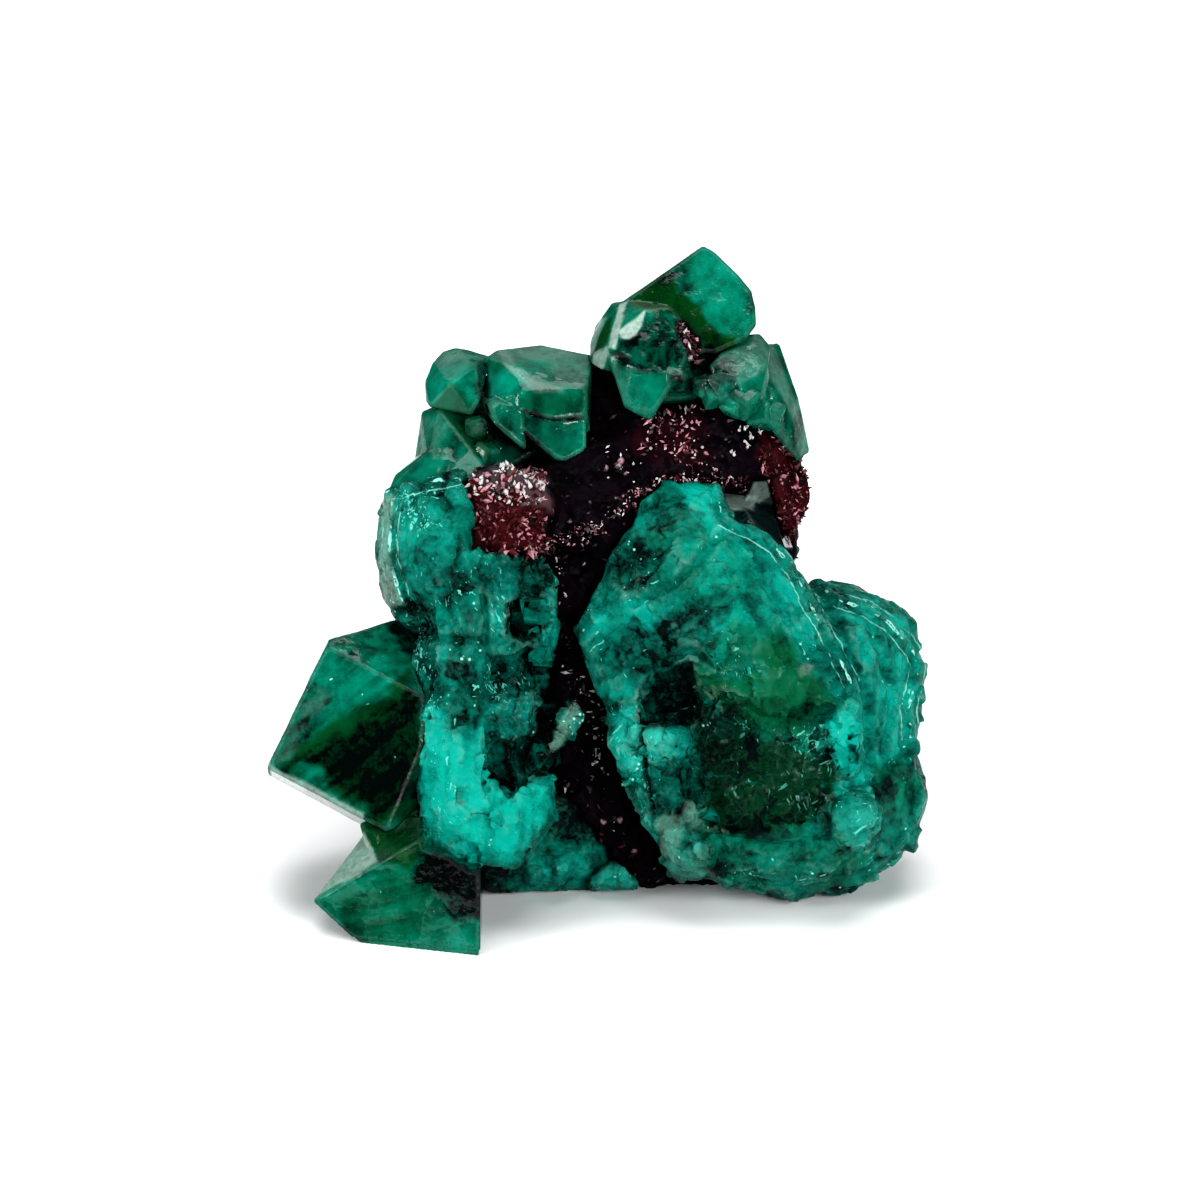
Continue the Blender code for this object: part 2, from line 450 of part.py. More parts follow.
MASS = [
    lump((0.64, 9.46, 3.4), (1.18, 9.91, 4.2), (1.97, 9.77, 4.6), (2.07, 8.11, 5),
         (2.02, 6.53, 5), (1.18, 6.17, 4.4),
         (0.79, 7.69, 4), (1.25, 9.5, 0), (2, 6.5, 0)),
    lump((2.32, 8.64, 4.8), (3.74, 8.56, 5.4), (4.48, 8.36, 5.2), (4.48, 7.28, 5.4),
         (3.34, 7.14, 5.8), (2.36, 7.12, 5.2),
         (2.5, 8.25, 0), (4.5, 8.25, 0), (3.5, 7.1, 0)),
    lump((1.38, 6.31, 4), (3.15, 7.22, 5), (4.44, 7.12, 4.8), (4.44, 5.14, 4.8),
         (3.36, 4.15, 4.4), (2.37, 4.08, 3.8),
         (1.68, 5.21, 3.6), (2, 6, 0), (4.25, 5.5, 0), (2.75, 4.25, 0)),
    lump((4.23, 5.11, 5.2), (4.92, 4.87, 5.6), (5.36, 4.86, 5.2), (5.22, 4.22, 5.2),
         (4.53, 3.78, 5.2), (4.14, 4.36, 4.8),
         (4.46, 4.79, 3), (5.15, 4.2, 3)),
    lump((2.47, 4.13, 3.8), (3.3, 4.55, 4.6), (4.14, 4.26, 4.8), (4.44, 3.26, 4.6),
         (3.75, 2.57, 4.4), (3.17, 2.64, 3.6),
         (2.72, 3.12, 3.4), (3.4, 3.5, 0), (4, 2.75, 0)),
    lump((3.22, 2.63, 3.4), (4.44, 2.88, 4.8), (5.71, 2.59, 5), (5.03, 2.08, 4.6),
         (5.14, 1.45, 3.6), (4.37, 1.11, 2.6),
         (3.37, 1.51, 2.6), (4.5, 2, 0), (3.75, 1.5, 0)),
    crystal((12.61, 4.3, 6.2), (0.08, 0.1, 1), (0.05, -1, 0), 0.93, 5,
            trims=[((0.3, 0.3, 1), -0.25), ((-0.5, 0.1, 0.85), -0.25), ((0.1, -0.6, 0.8), -0.2)]),
    lump((11.16, 8.78, 4), (12.22, 9.87, 4.8), (12.45, 8.11, 5.2), (12.47, 6.28, 4.8),
         (11.63, 7.02, 4.8), (11.52, 8.01, 5),
         (11.96, 8.52, 1), (12.46, 6.53, 1)),
    lump((6.23, 13.58, 6.4), (6.37, 13.24, 6.6), (6.17, 12.55, 6.9), (5.97, 11.97, 7),
         (5.58, 11.82, 6.8), (5.49, 12.21, 6.7),
         (5.93, 13.02, 4), (5.83, 12.04, 4)),
]
MASS_PITS = [
    lump((1.95, 10.62, 9), (2.68, 11.69, 9), (4.28, 11.94, 9), (4.57, 10.62, 9), (4.38, 9.16, 9),
         (2.92, 8.97, 9), (2.04, 9.36, 9),
         (2.57, 10.25, 3.4), (4.15, 11.34, 3.6), (4.15, 9.46, 3.6), (2.97, 9.26, 3.6)),
]

# The small glassy dark crystal behind the top of the mass.
DARK = [
    stone((7.25, 19.25, 0),
          ((5.9, 20.3, 0.2), (7.8, 20.15, 0), (7.56, 19.48, 1.6)),
          ((5.87, 19.57, 1.9), (7.56, 19.43, 1.8), (6.96, 18.48, 2)),
          ((7.56, 19.43, 1.8), (7.85, 20.1, 0.1), (8.86, 18.24, 1.4)),
          ((7.85, 20.1, 0.1), (8.37, 20.01, -0.6), (8.98, 18.24, 0.6)),
          ((8.37, 20.01, -0.6), (9.06, 18.2, -0.2), (9.08, 19.04, -3)),
          ((5.85, 20.3, 0.2), (8.37, 20.06, -0.8), (7.08, 20.36, -4)),
          ((5.8, 20.3, 0.2), (5.77, 18.48, 1.8), (5.85, 19.04, -3)),
          ((5.76, 17.73, 2.4), (9.06, 17.49, 1.4), (7.57, 17.72, -3)),
          ((6.05, 19.54, -3), (8.58, 19.54, -3), (7.57, 18.53, -3))),
    stone((7.85, 20.45, 0),
          ((7.34, 20.09, 0.6), (8.39, 20.2, 0.2), (7.85, 20.7, 0.1)),
          ((7.34, 20.09, 0.6), (7.66, 20.86, -0.4), (7.44, 20.63, -2)),
          ((7.66, 20.86, -0.4), (8.31, 20.91, -0.6), (8.05, 20.99, -2)),
          ((8.31, 20.91, -0.6), (8.45, 20.2, 0), (8.55, 20.53, -2)),
          ((7.34, 19.99, 0.6), (8.44, 19.85, 0.2), (7.9, 19.93, -2)),
          ((7.56, 20.79, -2.5), (8.46, 20.79, -2.5), (7.91, 20.04, -2.5))),
]

# Low crystals along the bottom.
BASE_ROUGH = [
    lump((-4.76, 0.47, -0.8), (-0.5, 0.3, -1.2), (0, 1.7, 0), (0.6, 2.48, -0.6),
         (0.1, 4.99, -0.4), (-2, 5.52, 0.6),
         (-3.98, 2.56, 1.6), (-4.98, 1.76, 1.6), (-8.47, 1.05, 1.2), (-7.95, 2.58, 2),
         (-7.5, 0.25, 0), (-4.58, 1.77, -6),
         (0, 1.77, -6), (0, 4.85, -5), (-4.06, 4.85, -5)),
]
BASE = [
    lump((-0.5, 0.81, 0.2), (0.2, 1.73, 0.8), (0.6, 1.93, 0.8), (2, 0.86, 0.2), (1.8, 0.52, -0.8),
         (-0.5, 0.41, -1),
         (0, 1.34, -4), (1.52, 0.83, -4)),
    crystal((-1.99, 1.66, 1.6), (0.1, -0.2, 1), (0, 1, 0), 0.9, 4),
    crystal((-3.49, 1.26, 1.4), (-0.3, -0.3, 1), (0.3, 1, 0), 0.7, 4),
]

# The matrix that carries them all.
MATRIX_ROUGH = [
    lump((-6.81, 20.92, 4.2), (-5.94, 21.53, 3.4), (-4.96, 21.74, 2.8), (-2.68, 21.15, 2.8),
         (-2.28, 19.7, 3.2), (-2.57, 17.32, 3.6),
         (-4.69, 16.87, 4.4), (-6.6, 16.97, 4.8), (-6.02, 21.52, -1), (-2.02, 17.02, -3),
         (-6.56, 17.52, -3), (-6.58, 21.58, -4),
         (-2.02, 21.07, -4)),
    lump((-2.99, 21.47, 1.6), (-1.98, 17.97, 2.8), (0, 18.97, 2.8), (2.48, 20.46, 2.4),
         (4.98, 21.87, 1.6), (5.58, 21.27, 1.4),
         (5.99, 19.99, 0.6), (0, 16.99, 1.6), (-1.99, 16.99, 1.4), (0.5, 21.47, 1.6),
         (-0.5, 22.99, 0.6), (2.49, 24.48, 0.8),
         (4.99, 24.98, 0.6), (8, 23.49, 0.2), (8.52, 20.01, -0.6), (1, 15, 0.6),
         (-3.04, 17.02, -4), (5.08, 24.14, -5),
         (0, 23.63, -5), (5.08, 17.03, -5)),
    lump((8, 23, -0.2), (8.77, 23.52, -0.6), (9.91, 23.05, -2), (10.16, 22.14, -2),
         (10.6, 20.48, -1.6), (10.19, 19.37, -1.4),
         (9.32, 18.01, -0.8), (9.22, 17.2, -0.6), (8.25, 19, -0.2), (8.1, 21, -0.2),
         (9.24, 20.5, 0.2), (9.64, 22.61, -5),
         (10.15, 20.08, -5), (9.14, 17.54, -5), (7.08, 23.1, -4)),
    lump((-0.8, 27.05, -1.4), (0.6, 26.64, -1.2), (2, 24.51, -0.4), (2, 23, 0), (-0.75, 22.5, 0),
         (-0.51, 26.17, -5),
         (1.02, 23.12, -5), (1.52, 25.15, -5)),
    lump((3.7, 28.99, 0.2), (4.3, 29.1, 0), (4.99, 28.18, 0.6), (5.89, 27.73, 0.4),
         (5.79, 26.98, 0.6), (5.08, 26.26, 1.2),
         (4.19, 26.66, 1), (4.53, 28.08, -2), (5.03, 27.07, -2)),
    lump((-1.99, 16.99, 1.2), (1, 16.99, 1.2), (0, 13.01, 1.4), (-0.5, 10.02, 1.6),
         (0.6, 6.04, 1.4), (2, 3.53, 0.8),
         (3.25, 1, 0), (2.01, 0.35, -1.2), (0, 0.34, -1.4), (-2.24, 5.02, 0.8),
         (-2.74, 10.02, 1.2), (-2.74, 15, 1.6),
         (-2.05, 17.05, -8), (2.05, 17.05, -8), (-2.05, 1.69, -8), (4.1, 1.69, -8),
         (5.12, 9.88, -8)),
    lump((-9.05, 21.04, -2), (-6.07, 26.13, -4), (0, 26.17, -5), (7.13, 27.22, -6),
         (9.64, 23.12, -5), (10.15, 17.03, -5),
         (2.04, 28.25, -6.5), (-2.01, 17.01, -2), (-6.04, 12.99, -2), (-9.05, 15, -2),
         (-7.04, 8.96, -2), (0, 17.01, -1),
         (5.05, 12.98, -3), (-6.14, 21.14, -8), (0, 23.23, -9.5), (7.18, 21.15, -8.5),
         (9.24, 15, -9), (0, 15, -11),
         (-8.17, 12.96, -7), (-5.15, 9.85, -10), (6.2, 7.77, -11)),
    lump((-8.02, 9.98, -1), (10.09, 9.95, -3), (11.1, 2.89, -3), (5.03, 1.42, -2),
         (-2.01, 1.42, -2), (-8.47, 2.54, 1),
         (-9, 7, 0), (10.27, 7.81, -9), (0, 10.34, -12), (-7.68, 8.86, -8), (-8.49, -0.5, 0.5),
         (-7.91, 2.23, -7),
         (-2.06, 3.5, -10.5), (6.19, 3.5, -10.5), (10.75, 2.59, -8), (11.19, 0.7, -2.8),
         (-2.01, 0.15, -1.3),
         (5.03, 0.34, -1.8)),
]

# Crystals that stand out of the back and the sides.
BACK_UPPER = spray(
    (-3.57, 20.1, -6.5),
    ((-0.5, 0.3, -0.8), (0.3, 1, 0.2), 2.5, 7.0),
    ((0.1, 0.5, -0.87), (1, 0.4, 0), 1.9, 6.6),
    ((-0.2, -0.35, -0.9), (0.6, -1, 0), 2.6, 6.6),
    ((-0.9, 0.05, -0.45), (0, 1, 0), 1.6, 6.6),
    ((0.55, -0.05, -0.8), (0, 1, 0), 1.4, 6.2),
)
BACK_RIGHT = spray(
    (5.1, 16.53, -6.5),
    ((0.35, 0.4, -0.85), (-0.4, 1, 0), 2.4, 7.0),
    ((0.8, 0.05, -0.65), (0, 1, 0.2), 2.1, 6.2),
    ((-0.1, 0.0, -1), (0.7, 1, 0), 2.8, 6.8),
    ((0.35, -0.55, -0.8), (0.2, -1, 0), 1.8, 7.2),
)
BACK_LOWER = spray(
    (-2.3, 9.63, -7.5),
    ((-0.55, -0.05, -0.85), (0, 1, 0), 2.4, 6.6),
    ((0.25, -0.1, -1), (-0.5, 1, 0), 2.6, 6.6),
    ((-0.75, 0.5, -0.6), (0.4, 1, 0), 1.5, 6.2),
    ((-0.1, -0.75, -0.8), (1, 0, 0), 1.5, 5.6),
)


def seat(nodes):
    """Put the middle of the underside at the origin and scale to metres."""
    corners = [corner.co for node in nodes for corner in node.data.vertices]
    middle = Vector()
    for i in (0, 1):
        middle[i] = (min(co[i] for co in corners) + max(co[i] for co in corners)) / 2
    for node in nodes:
        for corner in node.data.vertices:
            corner.co = (corner.co - middle) * METRES
        node.data.update()
    return middle


def build():
    for leftover in list(bpy.data.objects):
        bpy.data.objects.remove(leftover)
    green = finish("dioptase", (0.0, 0.29, 0.2), 0.12)
    broken = finish("broken_dioptase", (0.0, 0.38, 0.29), 0.3)
    dark_green = finish("dark_dioptase", (0.0, 0.06, 0.05), 0.1)
    brown = finish("matrix", (0.06, 0.015, 0.02), 0.6)
    column_blocks = COLUMN_ROUGH + COLUMN
    mass_blocks = MASS_ROUGH + MASS
    base_blocks = BASE_ROUGH + BASE
    column = fuse(COLUMN, SHOULDER, (), COLUMN_ROUGH, 850, 0.14, COLUMN_PITS)
    mass = fuse(MASS, (), (), MASS_ROUGH, 1700, 0.14, MASS_PITS)
    near_base = column_blocks + mass_blocks + FOOT + LEFT
    base = fuse(BASE, near_base, (column, mass), BASE_ROUGH, 220, 0.14)
    near_matrix = CROWN + SHOULDER + LEFT + FOOT + DARK + BACK_UPPER + BACK_RIGHT + BACK_LOWER
    near_matrix += column_blocks + mass_blocks + base_blocks
    near_right = mass_blocks + BACK_UPPER
    near_lower = LEFT + BACK_UPPER + BACK_RIGHT
    broken_stone = (column, mass, base)
    matrix = fuse((), near_matrix, broken_stone, MATRIX_ROUGH, 920, 0.7, (), MATRIX_GAP)
    nodes = [
        place("shoulder_crystals", fuse(SHOULDER), green),
        place("crown_crystals", fuse(CROWN, SHOULDER), green),
        place("column_crystals", column, broken),
        place("left_crystal", fuse(LEFT, column_blocks, (column,)), green),
        place("foot_crystal", fuse(FOOT, column_blocks + LEFT, (column,)), green),
        place("mass_crystals", mass, broken),
        place("dark_crystal", fuse(DARK, mass_blocks, (mass,)), dark_green),
        place("base_crystals", base, broken),
        place("back_upper_crystals", fuse(BACK_UPPER, SHOULDER), green),
        place("back_right_crystals", fuse(BACK_RIGHT, near_right, (mass,)), green),
        place("back_lower_crystals", fuse(BACK_LOWER, near_lower), green),
        place("matrix", matrix, brown),
    ]
    seat(nodes)
    return nodes


build()
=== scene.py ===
import math
import random

import bpy
import numpy as np
from mathutils import Matrix, Vector, kdtree


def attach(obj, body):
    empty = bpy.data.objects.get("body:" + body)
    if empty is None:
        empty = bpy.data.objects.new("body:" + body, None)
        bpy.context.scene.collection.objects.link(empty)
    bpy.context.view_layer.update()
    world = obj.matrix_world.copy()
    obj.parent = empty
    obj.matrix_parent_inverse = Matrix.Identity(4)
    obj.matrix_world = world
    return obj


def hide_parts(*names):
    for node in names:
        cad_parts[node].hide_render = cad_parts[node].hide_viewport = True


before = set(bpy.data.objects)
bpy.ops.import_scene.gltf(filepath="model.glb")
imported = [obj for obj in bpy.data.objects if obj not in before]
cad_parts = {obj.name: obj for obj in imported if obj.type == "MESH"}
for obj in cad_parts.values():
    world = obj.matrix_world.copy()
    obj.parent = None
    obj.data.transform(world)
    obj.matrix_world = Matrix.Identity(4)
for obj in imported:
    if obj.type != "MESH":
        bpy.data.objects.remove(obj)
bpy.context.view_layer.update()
print("frame loaded")

mm = 0.001
seed = 11

# how the specimen is looked at: places on it are given in the picture, 1200 wide and high
look = {
    "tilt": 20,  # degrees down
    "middle": (-0.1185, 6.1799),  # mm, from the front view's zero to the frame's
    "aim": 15,  # mm up in the front view
    "distance": 333.33,  # mm
    "lens": 200,
    "scale": 20,  # picture dots to a millimetre
}
edgeWander = {"soft": 44, "sharp": 6, "dent": 24, "druse": 30, "size": 1.3,
              "dentSize": 1.1}  # in dots, sizes in mm
ribReach = 40  # dots
groundLayer = 0.25  # mm that stay flat
creaseAngle = 40  # degrees


def smooth(x):
    x = np.clip(x, 0, 1)
    return x * x * (3 - 2 * x)


def hashed(x, y, z, salt):
    n = (x * 73856093) ^ (y * 19349663) ^ (z * 83492791) ^ (salt * 2654435)
    n = (n ^ (n >> 13)) * 1274126177
    return ((n ^ (n >> 16)) & 0xFFFFF) / 0xFFFFF


def softNoise(points, size, salt):  # values 0 to 1, one blob to each size
    p = points / size
    cell = np.floor(p).astype(np.int64)
    t = smooth(p - cell)
    total = 0
    for dx in (0, 1):
        for dy in (0, 1):
            for dz in (0, 1):
                share = abs(1 - dx - t[:, 0]) * abs(1 - dy - t[:, 1]) * abs(1 - dz - t[:, 2])
                total = total + share * hashed(cell[:, 0] + dx, cell[:, 1] + dy, cell[:, 2] + dz, salt)
    return total


def layered(points, size, salt, layers=3):
    total, weight, share = 0, 0, 1
    for layer in range(layers):
        total = total + share * softNoise(points, size / 2.1 ** layer, salt + layer * 7)
        weight, share = weight + share, share * 0.5
    return total / weight


def facetted(points, away, fineness, size, share,
             salt):  # small flat faces, size mm wide, and each one's tone
    chance = random.Random(salt)
    count = int(len(points) * (fineness / size) ** 2)
    middles = kdtree.KDTree(count)
    for i in range(count):
        middles.insert(points[chance.randrange(len(points))], i)
    middles.balance()
    own = np.array([middles.find(place)[1] for place in points])
    members = np.maximum(np.bincount(own, minlength=count), 1)[:, None]
    heart = np.stack([np.bincount(own, points[:, i], count) for i in range(3)], 1) / members
    face = np.stack([np.bincount(own, away[:, i], count) for i in range(3)], 1) / members
    face += np.array([[chance.gauss(0, 0.16) for i in range(3)] for j in range(count)])
    face /= np.linalg.norm(face, axis=1)[:, None] + 1e-9
    level = ((heart[own] - points) * face[own]).sum(1)
    slant = np.maximum((away * face[own]).sum(1), 0.6)
    move = np.clip(level / slant, -size * mm * 0.3, size * mm * 0.3) * share
    tone = np.array([chance.random() for i in range(count)])[own]
    return points + away * move[:, None], tone


def inPicture(points):  # places in the picture and nearness in mm, of points in metres
    tilt = math.radians(look["tilt"])
    p = points / mm + np.array([*look["middle"], 0])
    up = p[:, 1] * math.sin(tilt) + p[:, 2] * math.cos(tilt)
    near = -p[:, 1] * math.cos(tilt) + p[:, 2] * math.sin(tilt)
    k = look["distance"] / (look["distance"] - near) * look["scale"]
    return np.stack([600 + p[:, 0] * k, 600 - (up - look["aim"]) * k, near], 1)


def facingView(away):  # 1 towards the front view, -1 away from it
    tilt = math.radians(look["tilt"])
    return -away[:, 1] * math.cos(tilt) + away[:, 2] * math.sin(tilt)


def wobbled(points, size, layers=4):  # a wandering shift of places, each way
    return np.stack([layered(points, size * mm, salt, layers) for salt in (31, 57)], 1) - 0.5


def fromView(across, up, near):  # mm of the front view to metres of the frame
    tilt = math.radians(look["tilt"])
    y = up * math.sin(tilt) - near * math.cos(tilt) - look["middle"][1]
    z = up * math.cos(tilt) + near * math.sin(tilt)
    return Vector((across - look["middle"][0], y, z)) * mm


def placesOf(text):  # "600,420 640,455" to places in the picture
    return [tuple(int(number) for number in spot.split(",")) for spot in text.split()]


def toEdge(x, y, start, end):  # how far along an edge, and how far from it
    (ax, ay), (bx, by) = start, end
    along = ((x - ax) * (bx - ax) + (y - ay) * (by - ay)) / ((bx - ax) ** 2 + (by - ay) ** 2)
    t = np.clip(along, 0, 1)
    return along, np.hypot(x - ax - t * (bx - ax), y - ay - t * (by - ay))


def outline(spots, text, soft):  # 1 inside the outline, 0 outside, soft dots wide at its edge
    x, y = spots[:, 0], spots[:, 1]
    corners = placesOf(text)
    inside = np.zeros(len(x), bool)
    far = np.full(len(x), 1e9)
    for (ax, ay), (bx, by) in zip(corners, corners[1:] + corners[:1]):
        crossing = (ay > y) != (by > y)
        slope = (bx - ax) / ((by - ay) or 1e-9)
        inside ^= crossing & (x < ax + (y - ay) * slope)
        far = np.minimum(far, toEdge(x, y, (ax, ay), (bx, by))[1])
    return smooth(0.5 + np.where(inside, far, -far) / (2 * soft))


def distanceTo(spots, lines, openEnds=False):  # with open ends, nothing is near beyond a line's end
    x, y = spots[:, 0], spots[:, 1]
    far = np.full(len(x), 1e9)
    for line in map(placesOf, lines):
        last = len(line) - 2
        for i, (start, end) in enumerate(zip(line, line[1:])):
            along, near = toEdge(x, y, start, end)
            if openEnds:
                near[((along < 0) & (i == 0)) | ((along > 1) & (i == last))] = 1e9
            far = np.minimum(far, near)
    return far


def alongLines(spots, lines, width):  # 1 on the lines, falling to 0 at their width
    return smooth(1 - distanceTo(spots, lines) / width)


def coordinates(mesh):
    flat = np.empty(len(mesh.vertices) * 3, np.float32)
    mesh.vertices.foreach_get("co", flat)
    return flat.reshape(-1, 3).astype(float)


def directions(mesh):
    flat = np.empty(len(mesh.vertices) * 3, np.float32)
    mesh.vertex_normals.foreach_get("vector", flat)
    return flat.reshape(-1, 3).astype(float)


def moveTo(mesh, points):
    mesh.vertices.foreach_set("co", points.astype(np.float32).ravel())
    mesh.update()


def mark(mesh, name, values):
    layer = mesh.attributes.new(name, "FLOAT", "POINT")
    layer.data.foreach_set("value", np.clip(values, 0, 1).astype(np.float32))


def detailed(node, name, fineness):  # a fine mesh of a node, in metres
    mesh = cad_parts[node].data.copy()
    mesh.transform(Matrix.Scale(1 / mm, 4))
    rough = bpy.data.objects.new("rough", mesh)
    bpy.context.scene.collection.objects.link(rough)
    step = rough.modifiers.new("fine", "REMESH")
    step.mode = "VOXEL"
    step.voxel_size = fineness
    graph = bpy.context.evaluated_depsgraph_get()
    fine = bpy.data.meshes.new_from_object(rough.evaluated_get(graph))
    bpy.data.objects.remove(rough)
    fine.transform(Matrix.Scale(mm, 4))
    fine.name = name
    return fine


# Zone kinds: bright is a lighter milky teal, partly painted light on faces turned to the lamps;
# dark is a deeper colour, partly painted shade in recesses, pockets, under parts and cast shadows;
# grass is the crystal's own deeper yellow-green; the red-brown kind is the matrix colour and, on crystals,
# a near-black that is partly painted shade.
# pale is a pale tint, partly painted reflection of lamps and floor on facets; speck marks painted sparkle;
zoneKinds = ("bright", "dark", "grass", "pale", "rust_and_shade", "speck")


def paintZones(mesh, zones, ribs, back):
    points = coordinates(mesh)
    spots = inPicture(points)
    away = directions(mesh)
    facing = facingView(away)
    seen = smooth((facing + 0.25) / 0.3)
    wobble = wobbled(points, edgeWander["size"])
    wander = spots[:, :2] + wobble * edgeWander["soft"]
    values = {kind: np.zeros(len(points)) for kind in zoneKinds}
    for kind, strength, soft, corners in zones:
        where = wander if soft > 3 else spots[:, :2] + wobble * edgeWander["sharp"]
        mask = outline(where, corners, soft) * strength * seen
        values[kind] = 1 - (1 - values[kind]) * (1 - mask)
    # the rib mark also carries painted highlight lines beside the ridges
    rib = np.full(len(points), float(ribReach))
    for lines, width, height in ribs:  # 1 on the nearest ridge, 0 at the reach
        rib = np.minimum(rib, distanceTo(spots, lines, openEnds=True))
    mark(mesh, "rib", (1 - rib / ribReach) * smooth(facing / 0.3 + 0.2))
    hidden = 1 - seen
    clouds = layered(points, 3.2 * mm, 91)
    for kind, amount in back.items():
        values[kind] = values[kind] + hidden * amount * smooth((clouds - 0.42) / 0.2)
    for kind in zoneKinds:
        mark(mesh, kind, values[kind])


def ridges(mesh, fineness):  # 1 where the surface bends outwards
    away = directions(mesh)
    points = coordinates(mesh)
    ends = np.empty(len(mesh.edges) * 2, np.int32)
    mesh.edges.foreach_get("vertices", ends)
    first, second = ends[::2], ends[1::2]
    along = points[second] - points[first]
    bend = ((away[second] - away[first]) * along).sum(1) / ((along ** 2).sum(1) + 1e-15)
    count = len(points)
    total = np.bincount(first, bend, count) + np.bincount(second, bend, count)
    total /= np.maximum(np.bincount(first, minlength=count) + np.bincount(second, minlength=count), 1)
    return total * fineness * mm * 1.6


def outwards(mesh, points):
    moveTo(mesh, points)
    return directions(mesh)


def makePiece(settings, material):
    mesh = detailed(settings["node"], settings["name"], settings["fineness"])
    points = coordinates(mesh)
    away = directions(mesh)
    salt = settings["salt"]
    tone = np.full(len(points), 0.5)
    for size, flat, share in settings.get("faces", ()):
        points, own = facetted(points, away, settings["fineness"], size, flat, salt)
        away = outwards(mesh, points)
        tone += (own - 0.5) * share
        salt += 11
    spots = inPicture(points)
    move = np.full(len(points), settings["swell"])
    for size, depth in settings.get("waves", ()):
        move += (layered(points, size * mm, salt) - 0.5) * 2 * depth
        salt += 11
    for size, depth in settings.get("creases", ()):  # sharp ridges
        move += (0.5 - abs(layered(points, size * mm, salt) - 0.5) * 4) * depth
        salt += 11
    streak = np.full(len(points), 0.5)
    for along, size, depth, where in settings.get("streaks", ()):  # fibres and steps along a direction
        axis = np.array(fromView(*along) - fromView(0, 0, 0))
        axis /= np.linalg.norm(axis)
        squeezed = points - np.outer(points @ axis, axis) * 0.9
        grain = layered(squeezed, size * mm, salt, 2)
        mask = outline(spots[:, :2], where, 14) if where else 1.0
        mask = mask * (1 - abs(away @ axis) ** 3)
        move += (np.round(grain * 9) / 9 - 0.5) * 2 * depth * mask
        streak += (np.clip(grain * 2 - 0.5, 0, 1) - streak) * mask
        salt += 11
    front = smooth((spots[:, 2] + 3) / 2)
    bend = ((layered(points, 1.5 * mm, 5, 2) - 0.5) * 9)[:, None]
    for lines, width, height in settings.get("ribs", []) + settings.get("valleys", []):
        move += alongLines(spots[:, :2] + bend, lines, width) * height * front
    frayed = spots[:, :2] + wobbled(points, edgeWander["dentSize"]) * edgeWander["dent"]
    for depth, soft, corners in settings.get("dents", ()):  # hollows, and lumps where the depth is below 0
        move -= outline(frayed, corners, soft) * depth * front
    low = points[:, 2] < groundLayer * mm  # what stands on the ground stays flat
    move = np.where(low, np.minimum(move, 0.0), move)
    points = points + away * move[:, None] * mm
    backwards = np.array(fromView(0, 0, -1) - fromView(0, 0, 0))
    for depth, soft, corners in settings.get("pushed", ()):  # set back, behind its neighbour
        points = points + (outline(frayed, corners, soft) * front)[:, None] * backwards * depth
    points[:, 2] = np.maximum(points[:, 2], 0)
    moveTo(mesh, points)
    paintZones(mesh, settings["zones"], settings.get("ribs", ()), settings.get("back", {}))
    mark(mesh, "tone", tone)
    mark(mesh, "edge", ridges(mesh, settings["fineness"]))
    mark(mesh, "streak", streak)
    mesh.materials.clear()
    mesh.materials.append(material)
    piece = bpy.data.objects.new(settings["name"], mesh)
    bpy.context.scene.collection.objects.link(piece)
    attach(piece, "root")
    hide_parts(settings["node"])
    print("made", settings["name"])
    return piece


def thinOut(piece, share):  # keeps this share of the faces, most of them where the surface is uneven
    step = piece.modifiers.new("thin", "DECIMATE")
    step.ratio = share
    graph = bpy.context.evaluated_depsgraph_get()
    mesh = bpy.data.meshes.new_from_object(piece.evaluated_get(graph))
    piece.modifiers.clear()
    full = piece.data
    piece.data = mesh
    bpy.data.meshes.remove(full)
    mesh.name = piece.name
    points = coordinates(mesh)
    points[:, 2] = np.maximum(points[:, 2], 0)
    moveTo(mesh, points)
    mesh.shade_smooth()
    mesh.set_sharp_from_angle(angle=math.radians(creaseAngle))
    print("thinned", piece.name, sum(len(face.vertices) - 2 for face in mesh.polygons))


class Nodes:
    def __init__(self, tree):
        self.tree = tree

    def add(self, kind, inputs=None, **settings):
        node = self.tree.nodes.new(kind)
        for name, value in settings.items():
            setattr(node, name, value)
        for name, value in (inputs or {}).items():
            self.feed(node.inputs[name], value)
        return node

    def feed(self, socket, value):
        if isinstance(value, bpy.types.NodeSocket):
            self.tree.links.new(value, socket)
        else:
            socket.default_value = value

    def sums(self, operation, *values):
        node = self.add("ShaderNodeMath", operation=operation)
        for socket, value in zip(node.inputs, values):
            self.feed(socket, value)
        return node.outputs[0]

    def blend(self, share, first, second, mode="MIX"):
        node = self.add("ShaderNodeMix", data_type="RGBA", blend_type=mode)
        for socket, value in zip((node.inputs[0], node.inputs[6], node.inputs[7]), (share, first, second)):
            self.feed(socket, value)
        return node.outputs[2]

    def spread(self, value, low, high, first=0.0, last=1.0):
        node = self.add("ShaderNodeMapRange", {"Value": value, "From Min": low, "From Max": high,
                                               "To Min": first, "To Max": last})
        return node.outputs[0]

    def mask(self, name):  # a value that is kept on the mesh
        return self.add("ShaderNodeAttribute", attribute_name=name).outputs["Fac"]

    def place(self):
        return self.add("ShaderNodeTexCoord").outputs["Object"]

    def cloud(self, place, scale, detail=3.0, rough=0.55):
        return self.add("ShaderNodeTexNoise", {"Vector": place, "Scale": scale, "Detail": detail,
                                               "Roughness": rough}).outputs[0]


